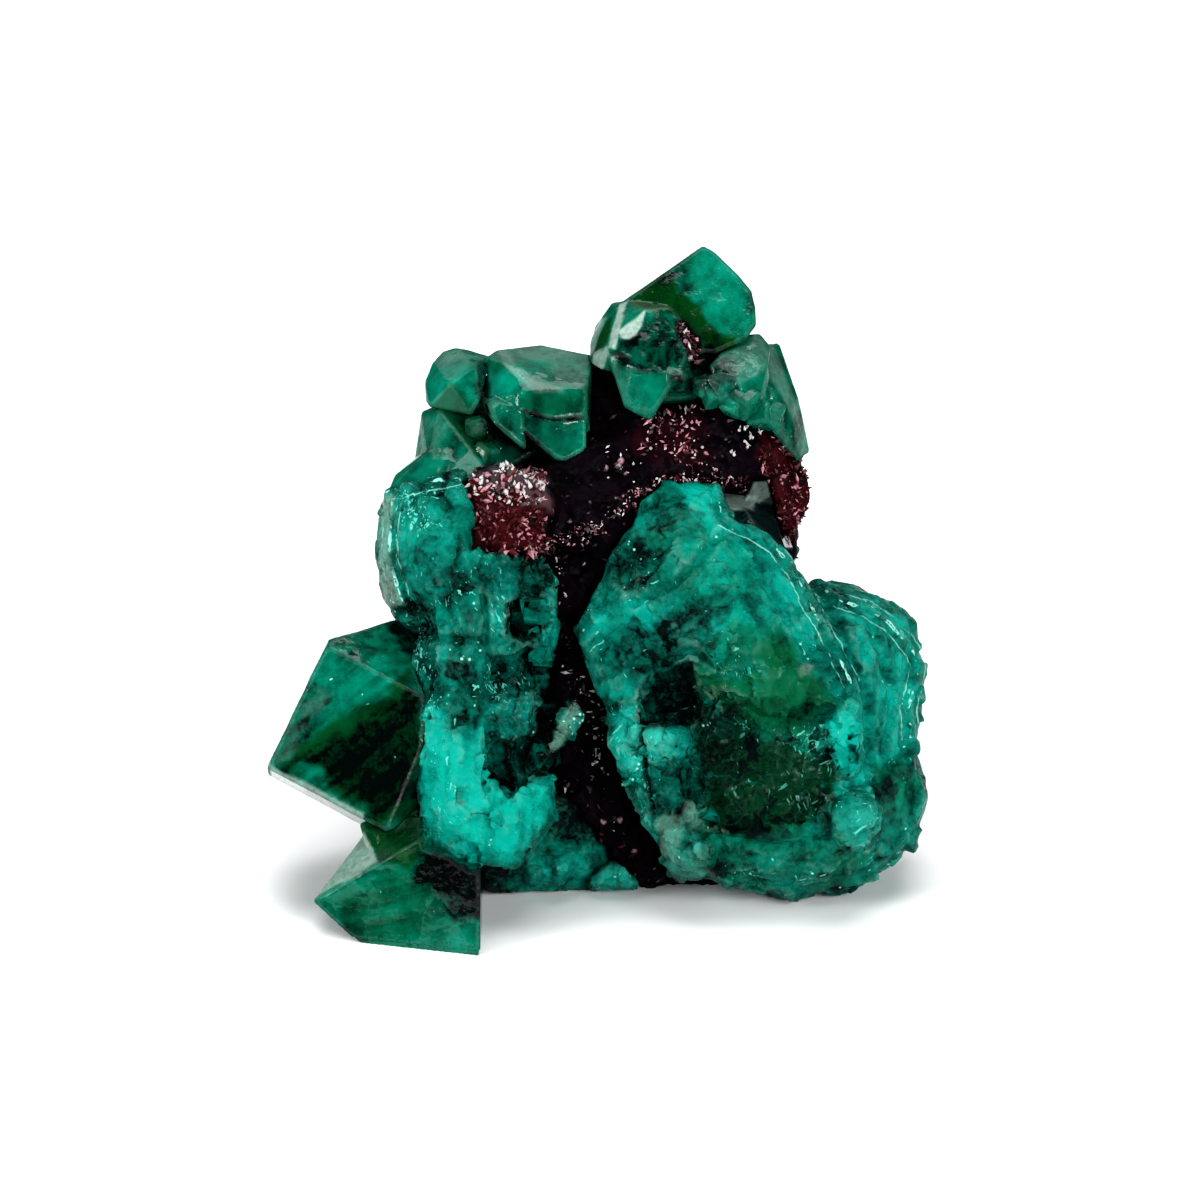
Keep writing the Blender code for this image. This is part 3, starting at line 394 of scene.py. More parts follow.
def newGroup(name, inputs, outputs):
    group = bpy.data.node_groups.new(name, "ShaderNodeTree")
    for label, kind, value in inputs:
        socket = group.interface.new_socket(label, in_out="INPUT", socket_type=kind)
        socket.default_value = value
    for label, kind in outputs:
        group.interface.new_socket(label, in_out="OUTPUT", socket_type=kind)
    n = Nodes(group)
    return group, n, n.add("NodeGroupInput"), n.add("NodeGroupOutput")


def groupNode(n, group, **values):
    node = n.add("ShaderNodeGroup", node_tree=group)
    for name, value in values.items():
        n.feed(node.inputs[name.replace("_", " ")], value)
    return node


number, colour = "NodeSocketFloat", "NodeSocketColor"


def drifting(n, place, scale, reach):  # places shifted by a cloud, so that patterns wander
    drift = n.add("ShaderNodeTexNoise", {"Vector": place, "Scale": scale, "Detail": 3.0})
    away = n.add("ShaderNodeVectorMath", {0: drift.outputs["Color"], 1: (0.5, 0.5, 0.5)},
                 operation="SUBTRACT")
    scaled = n.add("ShaderNodeVectorMath", {0: away.outputs[0], "Scale": reach}, operation="SCALE")
    return n.add("ShaderNodeVectorMath", {0: place, 1: scaled.outputs[0]}, operation="ADD").outputs[0]


def brokenFaces():  # a mosaic of small tilted faces, each with its own tone
    inputs = [("Face Size", number, 1000.0), ("Wander", number, 0.0004)]
    group, n, given, result = newGroup("broken faces", inputs, [("Height", number), ("Tone", number)])
    place = n.place()
    bent = drifting(n, place, 1300.0, given.outputs["Wander"])
    cells = n.add("ShaderNodeTexVoronoi", {"Vector": bent, "Scale": given.outputs["Face Size"]},
                  feature="F1")
    away = n.add("ShaderNodeVectorMath", {0: bent, 1: cells.outputs["Position"]}, operation="SUBTRACT")
    lean = n.add("ShaderNodeVectorMath", {0: cells.outputs["Color"], 1: (0.5, 0.5, 0.5)},
                 operation="SUBTRACT")
    slope = n.add("ShaderNodeVectorMath", {0: away.outputs[0], 1: lean.outputs[0]}, operation="DOT_PRODUCT")
    n.feed(result.inputs["Height"], n.sums("MULTIPLY", slope.outputs["Value"], 1000.0))
    tone = n.add("ShaderNodeSeparateColor", {"Color": cells.outputs["Color"]})
    n.feed(result.inputs["Tone"], n.spread(tone.outputs[2], 0.0, 1.0, -1.0, 1.0))
    return group


def splinterGlints():  # short thin strokes that lie one way: fibrous marks, and painted sparkle
    inputs = [("Turn", "NodeSocketVector", (0, 0, 0)), ("Size", number, 3500.0), ("Amount", number, 0.3)]
    group, n, given, result = newGroup("splinterGlints", inputs, [("Mask", number)])
    place = n.place()
    bent = drifting(n, place, 700.0, 0.0006)
    turned = n.add("ShaderNodeMapping", {"Vector": bent, "Rotation": given.outputs["Turn"]})
    drawn = n.add("ShaderNodeMapping", {"Vector": turned.outputs[0], "Scale": (1.0, 1.0, 0.16)})
    noise = n.cloud(drawn.outputs[0], given.outputs["Size"], 1.5, 0.5)
    above = n.sums("ADD", noise, n.sums("MULTIPLY", given.outputs["Amount"], 0.16))
    n.feed(result.inputs["Mask"], n.spread(above, 0.77, 0.8))
    return group


def crystalTint():  # the greens of dioptase: zones, clouds inside it, fine mottling and faces, with painted light, shade, reflections and sparkle from the zones, edges and ridges
    inputs = [
        ("Body", colour, (0.0, 0.2, 0.13, 1)), ("Bright", colour, (0.0, 0.5, 0.4, 1)),
        ("Deep", colour, (0.0, 0.012, 0.008, 1)), ("Grass", colour, (0.0, 0.07, 0.015, 1)),
        ("Pale", colour, (0.3, 0.42, 0.36, 1)), ("Cloud Size", number, 500.0), ("Cloud Depth", number, 0.5),
        ("Mottle Size", number, 2600.0), ("Mottle Depth", number, 0.5), ("Face Tone", number, 0.0),
        ("Facet Depth", number, 0.6), ("Streak Depth", number, 0.5),
        ("Edges", number, 0.3), ("Splinter Glints", number, 0.5), ("Stroke", colour, (0.2, 0.62, 0.52, 1)),
        ("Turn", "NodeSocketVector", (0, 0, 0)), ("Cross Turn", "NodeSocketVector", (0, 0, 0)),
        ("Cracks", number, 0.4), ("Crisp", number, 0.5), ("Line", colour, (0.3, 0.62, 0.54, 1)),
    ]
    outputs = [("Color", colour), ("Mask", number), ("Height", number)]
    group, n, given, result = newGroup("crystal tint", inputs, outputs)
    place = n.place()
    bent = drifting(n, place, 420.0, 0.0016)
    clouds = n.cloud(bent, given.outputs["Cloud Size"], 5.0, 0.62)
    mottle = n.cloud(bent, given.outputs["Mottle Size"], 5.0, 0.75)
    zones = {kind: n.mask(kind) for kind in zoneKinds}
    swing = n.sums("MULTIPLY", n.spread(clouds, 0.36, 0.64, -1.0, 1.0), given.outputs["Cloud Depth"])
    half = n.spread(given.outputs["Crisp"], 0.0, 1.0, 0.13, 0.04)  # where the mottling saturates
    gritty = n.sums("DIVIDE", n.sums("SUBTRACT", mottle, 0.5), half)
    gritty = n.sums("MAXIMUM", n.sums("MINIMUM", gritty, 1.0), -1.0)
    grit = n.sums("MULTIPLY", gritty, given.outputs["Mottle Depth"])
    tone = n.mask("tone")
    streak = n.mask("streak")
    laid = n.sums("MULTIPLY", n.spread(tone, 0.0, 1.0, -1.0, 1.0), given.outputs["Facet Depth"])
    drawn = n.sums("MULTIPLY", n.spread(streak, 0.2, 0.8, -1.0, 1.0), given.outputs["Streak Depth"])
    rough = n.spread(n.cloud(place, 380.0, 2.0), 0.4, 0.6, 0.3, 1.0)  # some faces are smooth, some granular
    level = n.sums("ADD", n.sums("ADD", swing, n.sums("MULTIPLY", grit, rough)), n.sums("ADD", laid, drawn))
    level = n.sums("ADD", level, given.outputs["Face Tone"])
    # bright zones lift the colour towards Bright, partly as painted light; dark zones sink it towards Deep,
    # partly as painted shade
    calm = n.spread(zones["bright"], 0.0, 1.0, 1.0, 0.45)
    lift = n.sums("ADD", zones["bright"], n.sums("MULTIPLY", n.sums("MAXIMUM", level, 0.0), 0.55))
    sink = n.sums("MULTIPLY", n.sums("MAXIMUM", n.sums("MULTIPLY", level, -1.0), 0.0), 0.75)
    broken = n.spread(gritty, -1.0, 1.0, 1.15, 0.72)
    sink = n.sums("ADD", n.sums("MULTIPLY", zones["dark"], broken), n.sums("MULTIPLY", sink, calm))
    tint = n.blend(n.spread(lift, 0.0, 1.0), given.outputs["Body"], given.outputs["Bright"])
    tint = n.blend(n.spread(zones["grass"], 0.0, 1.0), tint, given.outputs["Grass"])
    tint = n.blend(n.spread(sink, 0.0, 1.0), tint, given.outputs["Deep"])
    crack = n.sums("ABSOLUTE", n.sums("SUBTRACT", n.cloud(bent, 620.0, 5.0, 0.6), 0.47))
    crack = n.spread(crack, 0.008, 0.0)
    crack = n.sums("MULTIPLY", crack, n.spread(n.cloud(place, 520.0, 2.0), 0.45, 0.55))
    tint = n.blend(n.sums("MULTIPLY", crack, given.outputs["Cracks"]), tint, given.outputs["Deep"])
    # pale lines beside the ridges: painted highlights along the ridge edges, drawn as fibres
    rib = n.spread(n.mask("rib"), 0.0, 1.0, float(ribReach), 0.0)
    shifted = n.sums("ADD", rib, n.spread(n.cloud(place, 700.0, 3.0, 0.6), 0.0, 1.0, -4.5, 4.5))
    lines = n.spread(n.sums("PINGPONG", shifted, 4.0), 0.9, 0.3)
    lines = n.sums("MULTIPLY", lines, n.spread(rib, 14.0, 4.0))
    lines = n.sums("MULTIPLY", lines, n.spread(n.cloud(place, 1100.0, 2.0), 0.4, 0.5))
    # pale zones: a pale tint that is partly painted reflection of lamps and floor on facets
    paleAndSheen = n.sums("MULTIPLY", zones["pale"], n.spread(mottle, 0.35, 0.6, 0.55, 1.0))
    # convex edges turn pale too: a painted highlight along the edges
    edge = n.mask("edge")
    edge = n.sums("MULTIPLY", n.sums("MULTIPLY", edge, given.outputs["Edges"]), n.spread(clouds, 0.45, 0.6))
    # a near-black purple: the matrix seen between crystals, and painted shade at the foot's lower right
    tint = n.blend(zones["rust_and_shade"], tint, (0.004, 0.001, 0.004, 1))
    paleAndSheen = n.sums("MAXIMUM", paleAndSheen, edge)
    tint = n.blend(paleAndSheen, tint, given.outputs["Pale"])
    # speck zones add strokes where the crystal sparkles: the strokes are partly painted sparkle
    amount = n.sums("ADD", given.outputs["Splinter Glints"], n.sums("MULTIPLY", zones["speck"], 0.55))
    amount = n.sums("ADD", amount, n.spread(n.cloud(place, 330.0, 3.0), 0.35, 0.65, -0.7, 0.45))
    first = groupNode(n, splinterGlintGroup, Turn=given.outputs["Turn"], Size=4800.0, Amount=amount)
    second = groupNode(n, splinterGlintGroup, Turn=given.outputs["Cross Turn"], Size=6800.0, Amount=amount)
    strokes = n.sums("MAXIMUM", first.outputs["Mask"], second.outputs["Mask"])
    strokes = n.sums("MULTIPLY", strokes, n.spread(zones["dark"], 0.2, 1.0, 0.8, 0.25))
    tint = n.blend(strokes, tint, given.outputs["Stroke"])
    tint = n.blend(lines, tint, given.outputs["Line"])
    n.feed(result.inputs["Color"], tint)
    n.feed(result.inputs["Mask"], n.spread(clouds, 0.4, 0.62))
    n.feed(result.inputs["Height"], mottle)
    return group


def sugarGrain():  # finely granular surface, with glints
    inputs = [("Grain Size", number, 2600.0), ("Glints", number, 0.5)]
    group, n, given, result = newGroup("sugar grain", inputs, [("Height", number), ("Glint", number)])
    place = n.place()
    cells = n.add("ShaderNodeTexVoronoi", {"Vector": place, "Scale": given.outputs["Grain Size"]},
                  feature="F1")
    tilted = n.sums("MULTIPLY", cells.outputs["Distance"], 0.8)
    pick = n.add("ShaderNodeSeparateColor", {"Color": cells.outputs["Color"]})
    step = n.sums("MULTIPLY", pick.outputs[0], 0.6)
    n.feed(result.inputs["Height"], n.sums("SUBTRACT", step, tilted))
    patches = n.cloud(place, 420.0, 3.0)
    rare = n.sums("SUBTRACT", n.sums("ADD", pick.outputs[1], n.spread(patches, 0.35, 0.7, -0.35, 0.12)),
                  n.sums("SUBTRACT", 1.0, n.sums("MULTIPLY", given.outputs["Glints"], 0.2)))
    core = n.spread(cells.outputs["Distance"], 0.5, 0.2)
    n.feed(result.inputs["Glint"], n.sums("MULTIPLY", n.spread(rare, 0.0, 0.02), core))
    return group


def growthLines():  # fine steps across a crystal's faces
    inputs = [("Spacing", number, 900.0), ("Wander", number, 0.4)]
    group, n, given, result = newGroup("growth lines", inputs, [("Height", number)])
    place = n.place()
    turned = n.add("ShaderNodeMapping",
                   {"Vector": place, "Rotation": (0.5, 0.65, 0.3), "Scale": (0.16, 1.0, 0.5)})
    lines = n.cloud(turned.outputs[0], given.outputs["Spacing"], 4.0, 0.6)
    stepped = n.sums("SNAP", lines, 0.04)
    n.feed(result.inputs["Height"], n.blend(given.outputs["Wander"], stepped, lines))
    return group


splinterGlintGroup = splinterGlints()
tintGroup, grainGroup, lineGroup, faceGroup = crystalTint(), sugarGrain(), growthLines(), brokenFaces()


def newMaterial(name):
    material = bpy.data.materials.new(name)
    material.use_nodes = True
    tree = material.node_tree
    shader = tree.nodes["Principled BSDF"]
    return material, Nodes(tree), shader, tree.nodes["Material Output"]


clearSettings = {
    "tint": {  # what the tint group takes
        "Body": (0.0, 0.125, 0.078, 1), "Bright": (0.0, 0.27, 0.19, 1), "Deep": (0.0, 0.004, 0.003, 1),
        "Grass": (0.0, 0.055, 0.009, 1), "Pale": (0.42, 0.52, 0.47, 1), "Stroke": (0.16, 0.42, 0.34, 1),
        "Cloud Size": 360.0, "Cloud Depth": 0.5, "Mottle Size": 2600.0, "Mottle Depth": 0.3,
        "Cracks": 0.0, "Crisp": 0.35, "Facet Depth": 0.0, "Streak Depth": 0.45,
        "Edges": 0.0, "Splinter Glints": -0.25, "Turn": (0, -0.96, 0), "Cross Turn": (0, 0.5, 0),
    },
    "faceTone": 0.35, "faceTilt": 0.1, "roughness": (0.05, 0.13),
    "specular": 0.15, "through": 0.25,
    "faces": ((420.0, 0.0012), (1500.0, 0.0004)), "grain": (7600.0, -0.3), "glint": (0.4, 0.6, 0.52, 1),
    "relief": (0.25, 0.00012, 0.2), "lines": True,
}
brokenSettings = {
    "tint": {  # what the tint group takes
        "Body": (0.0, 0.135, 0.1, 1), "Bright": (0.0, 0.31, 0.25, 1), "Deep": (0.0, 0.006, 0.005, 1),
        "Grass": (0.0, 0.09, 0.028, 1), "Pale": (0.24, 0.36, 0.3, 1), "Stroke": (0.14, 0.5, 0.42, 1),
        "Cloud Size": 360.0, "Cloud Depth": 0.7, "Mottle Size": 4200.0, "Mottle Depth": 0.32,
        "Cracks": 0.5, "Crisp": 0.38, "Facet Depth": 0.75, "Streak Depth": 0.3,
        "Edges": 0.5, "Splinter Glints": 0.12, "Turn": (0, -0.96, 0), "Cross Turn": (0.2, 0.35, 0),
    },
    "faceTone": 0.35, "faceTilt": 0.45, "roughness": (0.08, 0.24),
    "specular": 0.05,
    "faces": ((1100.0, 0.0006), (3200.0, 0.0002)), "grain": (5200.0, 0.1), "glint": (0.35, 0.7, 0.6, 1),
    "relief": (5.0, 0.00008, 0.5), "lines": False,
}
inside = {"ior": 1.66, "colour": (0.0, 0.9875, 0.975, 1), "density": 6000.0}  # red is lost in a millimetre


def dioptase(name, s):  # clear crystals have growth lines and worn edges, broken ones a granular surface
    material, n, shader, output = newMaterial(name)
    faces, small = [groupNode(n, faceGroup, Face_Size=size, Wander=wander) for size, wander in s["faces"]]
    tone = n.sums("MULTIPLY", n.sums("ADD", faces.outputs["Tone"], small.outputs["Tone"]),
                  s["faceTone"] / 2)
    tint = groupNode(n, tintGroup, Face_Tone=tone, **s["tint"])
    grain = groupNode(n, grainGroup, Grain_Size=s["grain"][0], Glints=s["grain"][1])
    n.feed(shader.inputs["Base Color"], n.blend(grain.outputs["Glint"], tint.outputs["Color"], s["glint"]))
    gloss = n.spread(tint.outputs["Mask"], 0, 1, *s["roughness"])
    steps = grain.outputs["Height"]
    if s["lines"]:
        gloss = n.sums("MAXIMUM", gloss, n.spread(n.mask("edge"), 0.05, 0.4, 0.0, 0.85))
        steps = groupNode(n, lineGroup, Spacing=900.0, Wander=0.5).outputs["Height"]
    n.feed(shader.inputs["Roughness"], gloss)
    tilt = n.add("ShaderNodeBump", {"Height": n.sums("ADD", faces.outputs["Height"],
                                                     small.outputs["Height"]),
                                    "Distance": 0.001, "Strength": s["faceTilt"]})
    share, distance, strength = s["relief"]
    height = n.sums("ADD", steps, n.sums("MULTIPLY", tint.outputs["Height"], share))
    bump = n.add("ShaderNodeBump", {"Height": height, "Distance": distance, "Strength": strength,
                                    "Normal": tilt.outputs[0]})
    n.feed(shader.inputs["Normal"], bump.outputs[0])
    shader.inputs["IOR"].default_value = inside["ior"]
    shader.inputs["Specular IOR Level"].default_value = s["specular"]
    if "through" in s:
        shader.inputs["Transmission Weight"].default_value = s["through"]
        absorb = n.add("ShaderNodeVolumeAbsorption",
                       {"Color": inside["colour"], "Density": inside["density"]})
        n.feed(output.inputs["Volume"], absorb.outputs[0])
    return material


def matrixRock(name):
    material, n, shader, output = newMaterial(name)
    place = n.place()
    rust_and_shade = n.mask("rust_and_shade")
    pale = n.mask("pale")
    mottle = n.cloud(place, 700.0, 6.0, 0.7)
    dark = n.blend(n.spread(mottle, 0.4, 0.65), (0.0012, 0.0004, 0.0018, 1), (0.007, 0.002, 0.006, 1))
    red = n.blend(n.spread(mottle, 0.38, 0.62), (0.012, 0.001, 0.0015, 1), (0.06, 0.006, 0.008, 1))
    grain = groupNode(n, grainGroup, Grain_Size=2300.0, Glints=0.45)
    share = n.sums("MULTIPLY", rust_and_shade, n.spread(n.cloud(place, 380.0, 3.0), 0.3, 0.5))
    tint = n.blend(share, dark, red)
    # pale zones: grey speckle, partly a painted highlight
    tint = n.blend(pale, tint, (0.12, 0.1, 0.11, 1))
    tint = n.blend(grain.outputs["Glint"], tint, (0.3, 0.2, 0.22, 1))
    n.feed(shader.inputs["Base Color"], tint)
    n.feed(shader.inputs["Roughness"], n.spread(mottle, 0.3, 0.7, 0.32, 0.6))
    shader.inputs["Specular IOR Level"].default_value = 0.04
    bump = n.add("ShaderNodeBump", {"Height": grain.outputs["Height"], "Distance": 0.0001, "Strength": 0.7})
    n.feed(shader.inputs["Normal"], bump.outputs[0])
    return material


darkTint = {"Body": (0.0, 0.008, 0.008, 1), "Bright": (0.0, 0.04, 0.035, 1)}
uprightTint = {"Turn": (0, 0.12, 0), "Cross Turn": (0, 0.8, 0)}
clearMaterial = dioptase("clear dioptase", clearSettings)
darkMaterial = dioptase("dark dioptase", {**clearSettings, "through": 0.1,
                                          "tint": {**clearSettings["tint"], **darkTint}})
brokenMaterial = dioptase("broken dioptase", brokenSettings)
columnMaterial = dioptase("upright broken dioptase", {**brokenSettings,
                                                      "tint": {**brokenSettings["tint"], **uprightTint}})
matrixMaterial = matrixRock("matrix rock")
print("materials ready")

# the crystals and the matrix. A zone is its kind, its strength, the softness of its edge and its outline.
# Waves and creases are a size and a depth, dents a depth, a softness and an outline, all depths in mm.
crown = {
    "node": "crown_crystals", "name": "crown", "slot": "clear_dioptase", "fineness": 0.085, "swell": 0.09,
    "salt": 3,
    "waves": [(1.6, 0.03)], "streaks": [((0.3, 0.9, 0.3), 0.6, 0.02, None)],
    "back": {"dark": 0.7, "grass": 0.5},
    # bright is painted light on the tip's faces towards the lamps, dark painted shade with the deep inner
    # colour, pale painted reflection on facets, speck painted sparkle
    "zones": [
        ("bright", 0.3, 6, "702,246 740,274 756,303 750,330 735,330 712,325 704,304 692,296 680,276"),
        ("grass", 1.0, 3, "626,303 645,287 661,274 673,280 677,294 690,297 702,307 708,322 722,336 "
                          "737,337 736,348 720,355 706,347 690,327 672,313 645,309"),
        ("dark", 0.35, 5, "622,345 650,340 664,372 640,368 624,358"),
        ("dark", 0.3, 4, "630,300 661,276 673,282 668,300 650,304"),
        ("rust_and_shade", 1.0, 2, "674,319 686,319 699,336 702,345 699,366 691,372 685,348 677,335"),
        ("dark", 0.45, 5, "642,312 666,312 684,350 676,372 645,362 634,340"),
        ("dark", 0.9, 2.5, "702,344 712,345 720,356 714,362 704,360"),
        ("pale", 0.8, 1.2, "619,305 627,303 623,320 620,332 616,349 609,348 612,332"),
        ("pale", 0.95, 1.2, "646,309 642,323 637,334 630,338 622,337 620,330 633,320"),
        ("pale", 0.5, 1.5, "597,320 605,318 598,338 595,352 590,358 587,347 593,332"),
        ("pale", 0.7, 1.5, "595,353 608,347 610,354 604,367 598,370 594,364"),
        ("grass", 0.9, 2, "605,322 612,314 610,334 605,346 598,352 598,338"),
        ("dark", 0.85, 2.5, "618,339 631,338 638,345 631,350 622,347"),
        ("dark", 0.8, 2, "610,352 620,350 634,362 650,368 664,374 650,373 632,368 618,361"),
        ("pale", 0.14, 1.5, "716,361 728,352 748,344 754,333 763,341 770,358 764,371 749,379 736,386 "
                            "733,376 720,369"),
        ("pale", 0.22, 2.5, "768,344 774,346 784,370 793,395 805,424 806,453 798,455 793,420 781,394 "
                            "770,380"),
        ("dark", 0.7, 4, "664,374 690,372 716,366 736,388 757,384 740,396 706,386 690,400 668,392"),
        ("speck", 0.7, 5, "742,386 775,380 800,430 798,456 770,430 745,402"),
    ],
}
shoulder = {
    "node": "shoulder_crystals", "name": "shoulder", "slot": "clear_dioptase", "fineness": 0.085,
    "swell": 0.09, "salt": 17,
    "waves": [(1.6, 0.03)], "streaks": [((0.2, 0.9, 0.3), 0.6, 0.02, None)],
    "back": {"dark": 0.6, "grass": 0.5},
    # dark is painted shade in the notches and below the step, pale painted reflection on the top faces,
    # bright partly painted light
    "zones": [
        ("grass", 0.6, 3, "430,409 446,386 458,383 468,400 480,412 478,430 494,432 490,458 470,454 "
                          "455,433 440,418"),
        ("dark", 0.9, 3, "484,421 495,430 494,434 484,431 477,424"),
        ("dark", 0.85, 1.5, "522,411 526,409 548,417 583,418 583,421 546,421 527,415 528,424 524,426"),
        ("dark", 0.6, 2.5, "524,430 548,446 560,462 548,462 536,448 522,438"),
        ("grass", 0.35, 8, "526,392 584,390 584,416 526,414"),
        ("dark", 0.2, 5, "448,388 462,398 473,415 482,442 474,446 462,420 452,405"),
        ("bright", 0.3, 6, "428,370 444,352 480,356 478,395 450,382 432,400"),
        ("pale", 0.15, 3, "436,366 444,353 462,350 470,354 450,362"),
        ("pale", 0.12, 2, "514,350 541,346 590,356 587,386 576,386 554,377 546,362 519,357"),
        ("pale", 0.2, 2, "497,350 506,350 516,366 535,379 563,388 562,392 535,392 520,381 506,367"),
        ("bright", 0.35, 6, "489,360 508,366 524,382 523,400 489,398"),
        ("dark", 0.85, 3, "478,360 489,362 490,400 482,410 476,395"),
        ("dark", 0.8, 4, "484,404 500,425 525,447 545,470 500,440 480,430"),
        ("pale", 0.1, 4, "424,414 440,418 436,450 424,446"),
        ("bright", 0.25, 6, "400,480 420,456 470,452 486,472 440,482 394,490"),
    ],
}
column = {
    "node": "column_crystals", "name": "column", "slot": "broken_dioptase", "fineness": 0.1, "swell": 0.1,
    "salt": 29,
    "faces": [(1.2, 0.8, 0.6), (0.55, 0.4, 0.5)], "waves": [(0.9, 0.03)], "creases": [(2.0, 0.1)],
    # ribs raise the ridges; beside them painted highlight lines are drawn
    "ribs": [(["378,500 382,493 430,482 464,475 479,468", "392,500 389,557 403,604"], 4, 0.08)],
    "valleys": [
        (["486,600 486,700 487,790"], 5, -0.3),
        (["404,612 440,640 486,640"], 8, -0.25),
        (["392,520 398,570 410,610"], 5, -0.2),
    ],
    "dents": [
        (0.7, 4, "488,660 530,648 552,655 556,700 553,770 530,778 510,795 490,770"),
        (0.8, 3, "505,602 530,594 548,604 546,632 525,640 508,634"),
        (-0.45, 4, "494,694 540,690 545,706 534,736 498,742"),
        (0.35, 7, "404,600 446,590 452,622 420,640"),
        (0.3, 8, "470,556 550,552 552,596 480,596"),
    ],
    "streaks": [((0.1, 1, 0), 0.35, 0.03, None)],
    "back": {"dark": 0.8},
    # bright is painted light on the lit foot of the column, dark painted shade in the recess and the hole,
    # pale painted reflection on the left face and the blade, speck painted sparkle
    "zones": [
        ("speck", 1.3, 8, "392,488 470,474 468,520 400,530"),
        ("speck", 1.3, 7, "412,545 436,545 476,560 474,600 436,606 414,575"),
        ("speck", 1.3, 8, "410,640 486,600 550,640 545,672 486,700 410,720"),
        ("bright", 0.95, 7, "414,715 430,700 447,738 466,748 485,712 488,760 492,795 503,803 520,780 "
                            "552,774 554,822 540,833 527,847 514,866 482,862 440,850 424,824 412,760"),
        ("dark", 0.4, 8, "490,645 530,636 575,640 580,700 575,770 545,775 520,782 500,800 490,765"),
        ("bright", 0.5, 5, "492,694 540,690 545,706 522,718 494,712"),
        ("bright", 0.4, 5, "496,724 524,720 534,736 512,744 498,738"),
        ("dark", 1.0, 4, "505,602 530,594 548,604 546,632 525,640 508,634"),
        ("bright", 0.02, 9, "392,492 430,483 466,476 466,552 430,600 395,590"),
        ("bright", 0.3, 8, "398,530 446,530 446,596 408,600"),
        ("pale", 0.6, 2, "380,496 394,492 389,557 403,604 387,609 376,569"),
        ("dark", 0.7, 5, "405,600 440,610 425,650 410,640"),
        ("dark", 0.55, 8, "470,560 550,556 556,600 500,600 470,590"),
        ("bright", 0.8, 2, "545,588 555,588 556,645 547,668 541,640"),
        ("pale", 0.45, 2, "570,703 580,700 578,714 562,746 538,760 552,738"),
        ("dark", 0.22, 8, "425,620 486,620 486,700 450,730 414,700"),
    ],
}
leftPrism = {
    "node": "left_crystal", "name": "left_prism", "slot": "clear_dioptase", "fineness": 0.09,
    "swell": 0.09, "salt": 41,
    "keep": 0.5,
    "waves": [(2.0, 0.03)], "streaks": [((0.8, 0.6, 0.0), 0.34, 0.035, None)],
    "back": {"dark": 0.6, "grass": 0.5},
    # dark is painted shade, pale is painted reflection of the floor on the lower edge face
    "zones": [
        ("bright", 0.25, 9, "322,650 376,640 400,668 372,700 330,726 306,716"),
        ("grass", 0.85, 8, "300,742 340,720 380,690 412,668 416,742 420,812 385,832 355,802 320,775 "
                           "290,762"),
        ("dark", 0.85, 9, "325,752 380,712 412,690 416,742 420,800 385,825 352,792 318,772 300,762"),
        # a painted cast shadow on the top face near the bulge
        ("dark", 0.85, 4, "366,628 409,623 420,658 398,645"),
        ("pale", 0.45, 1.5, "271,764 276,767 364,813 363,824 345,822 300,797 270,776"),
        ("dark", 0.85, 1.5, "304,790 318,792 350,815 344,820 320,803"),
        ("dark", 0.45, 6, "276,745 296,700 330,690 322,716 300,757 282,762"),
        ("pale", 0.1, 4, "298,702 326,692 318,712 290,718"),
        ("pale", 0.08, 4, "284,722 303,724 305,748 284,757 276,752"),
    ],
}
foot = {
    "node": "foot_crystal", "name": "foot", "slot": "clear_dioptase", "fineness": 0.085, "swell": 0.08,
    "salt": 53,
    "waves": [(1.8, 0.03)], "streaks": [((0.9, 0.2, 0.2), 0.5, 0.02, None)],
    "pushed": [(2.2, 4, "424,790 500,790 500,862 470,866 446,858 430,846")],
    "back": {"dark": 0.6, "grass": 0.4},
    # pale is painted reflection on the grey facet; the dark and red-brown zones at the lower right are
    # painted shade
    "zones": [
        ("pale", 0.62, 1.5, "314,899 364,832 378,861"),
        ("grass", 0.9, 4, "362,824 420,810 421,866 387,858 366,846"),
        ("dark", 0.35, 6, "370,826 420,810 420,830 395,842"),
        ("dark", 0.35, 5, "386,800 414,800 424,840 424,862 406,846"),
        ("rust_and_shade", 0.6, 8, "440,866 494,870 494,912 462,918 448,900"),
        ("dark", 1.0, 6, "426,856 446,856 470,866 494,864 494,915 462,924 440,912 428,880"),
        ("grass", 0.35, 8, "330,880 420,860 440,935 350,945"),
    ],
}
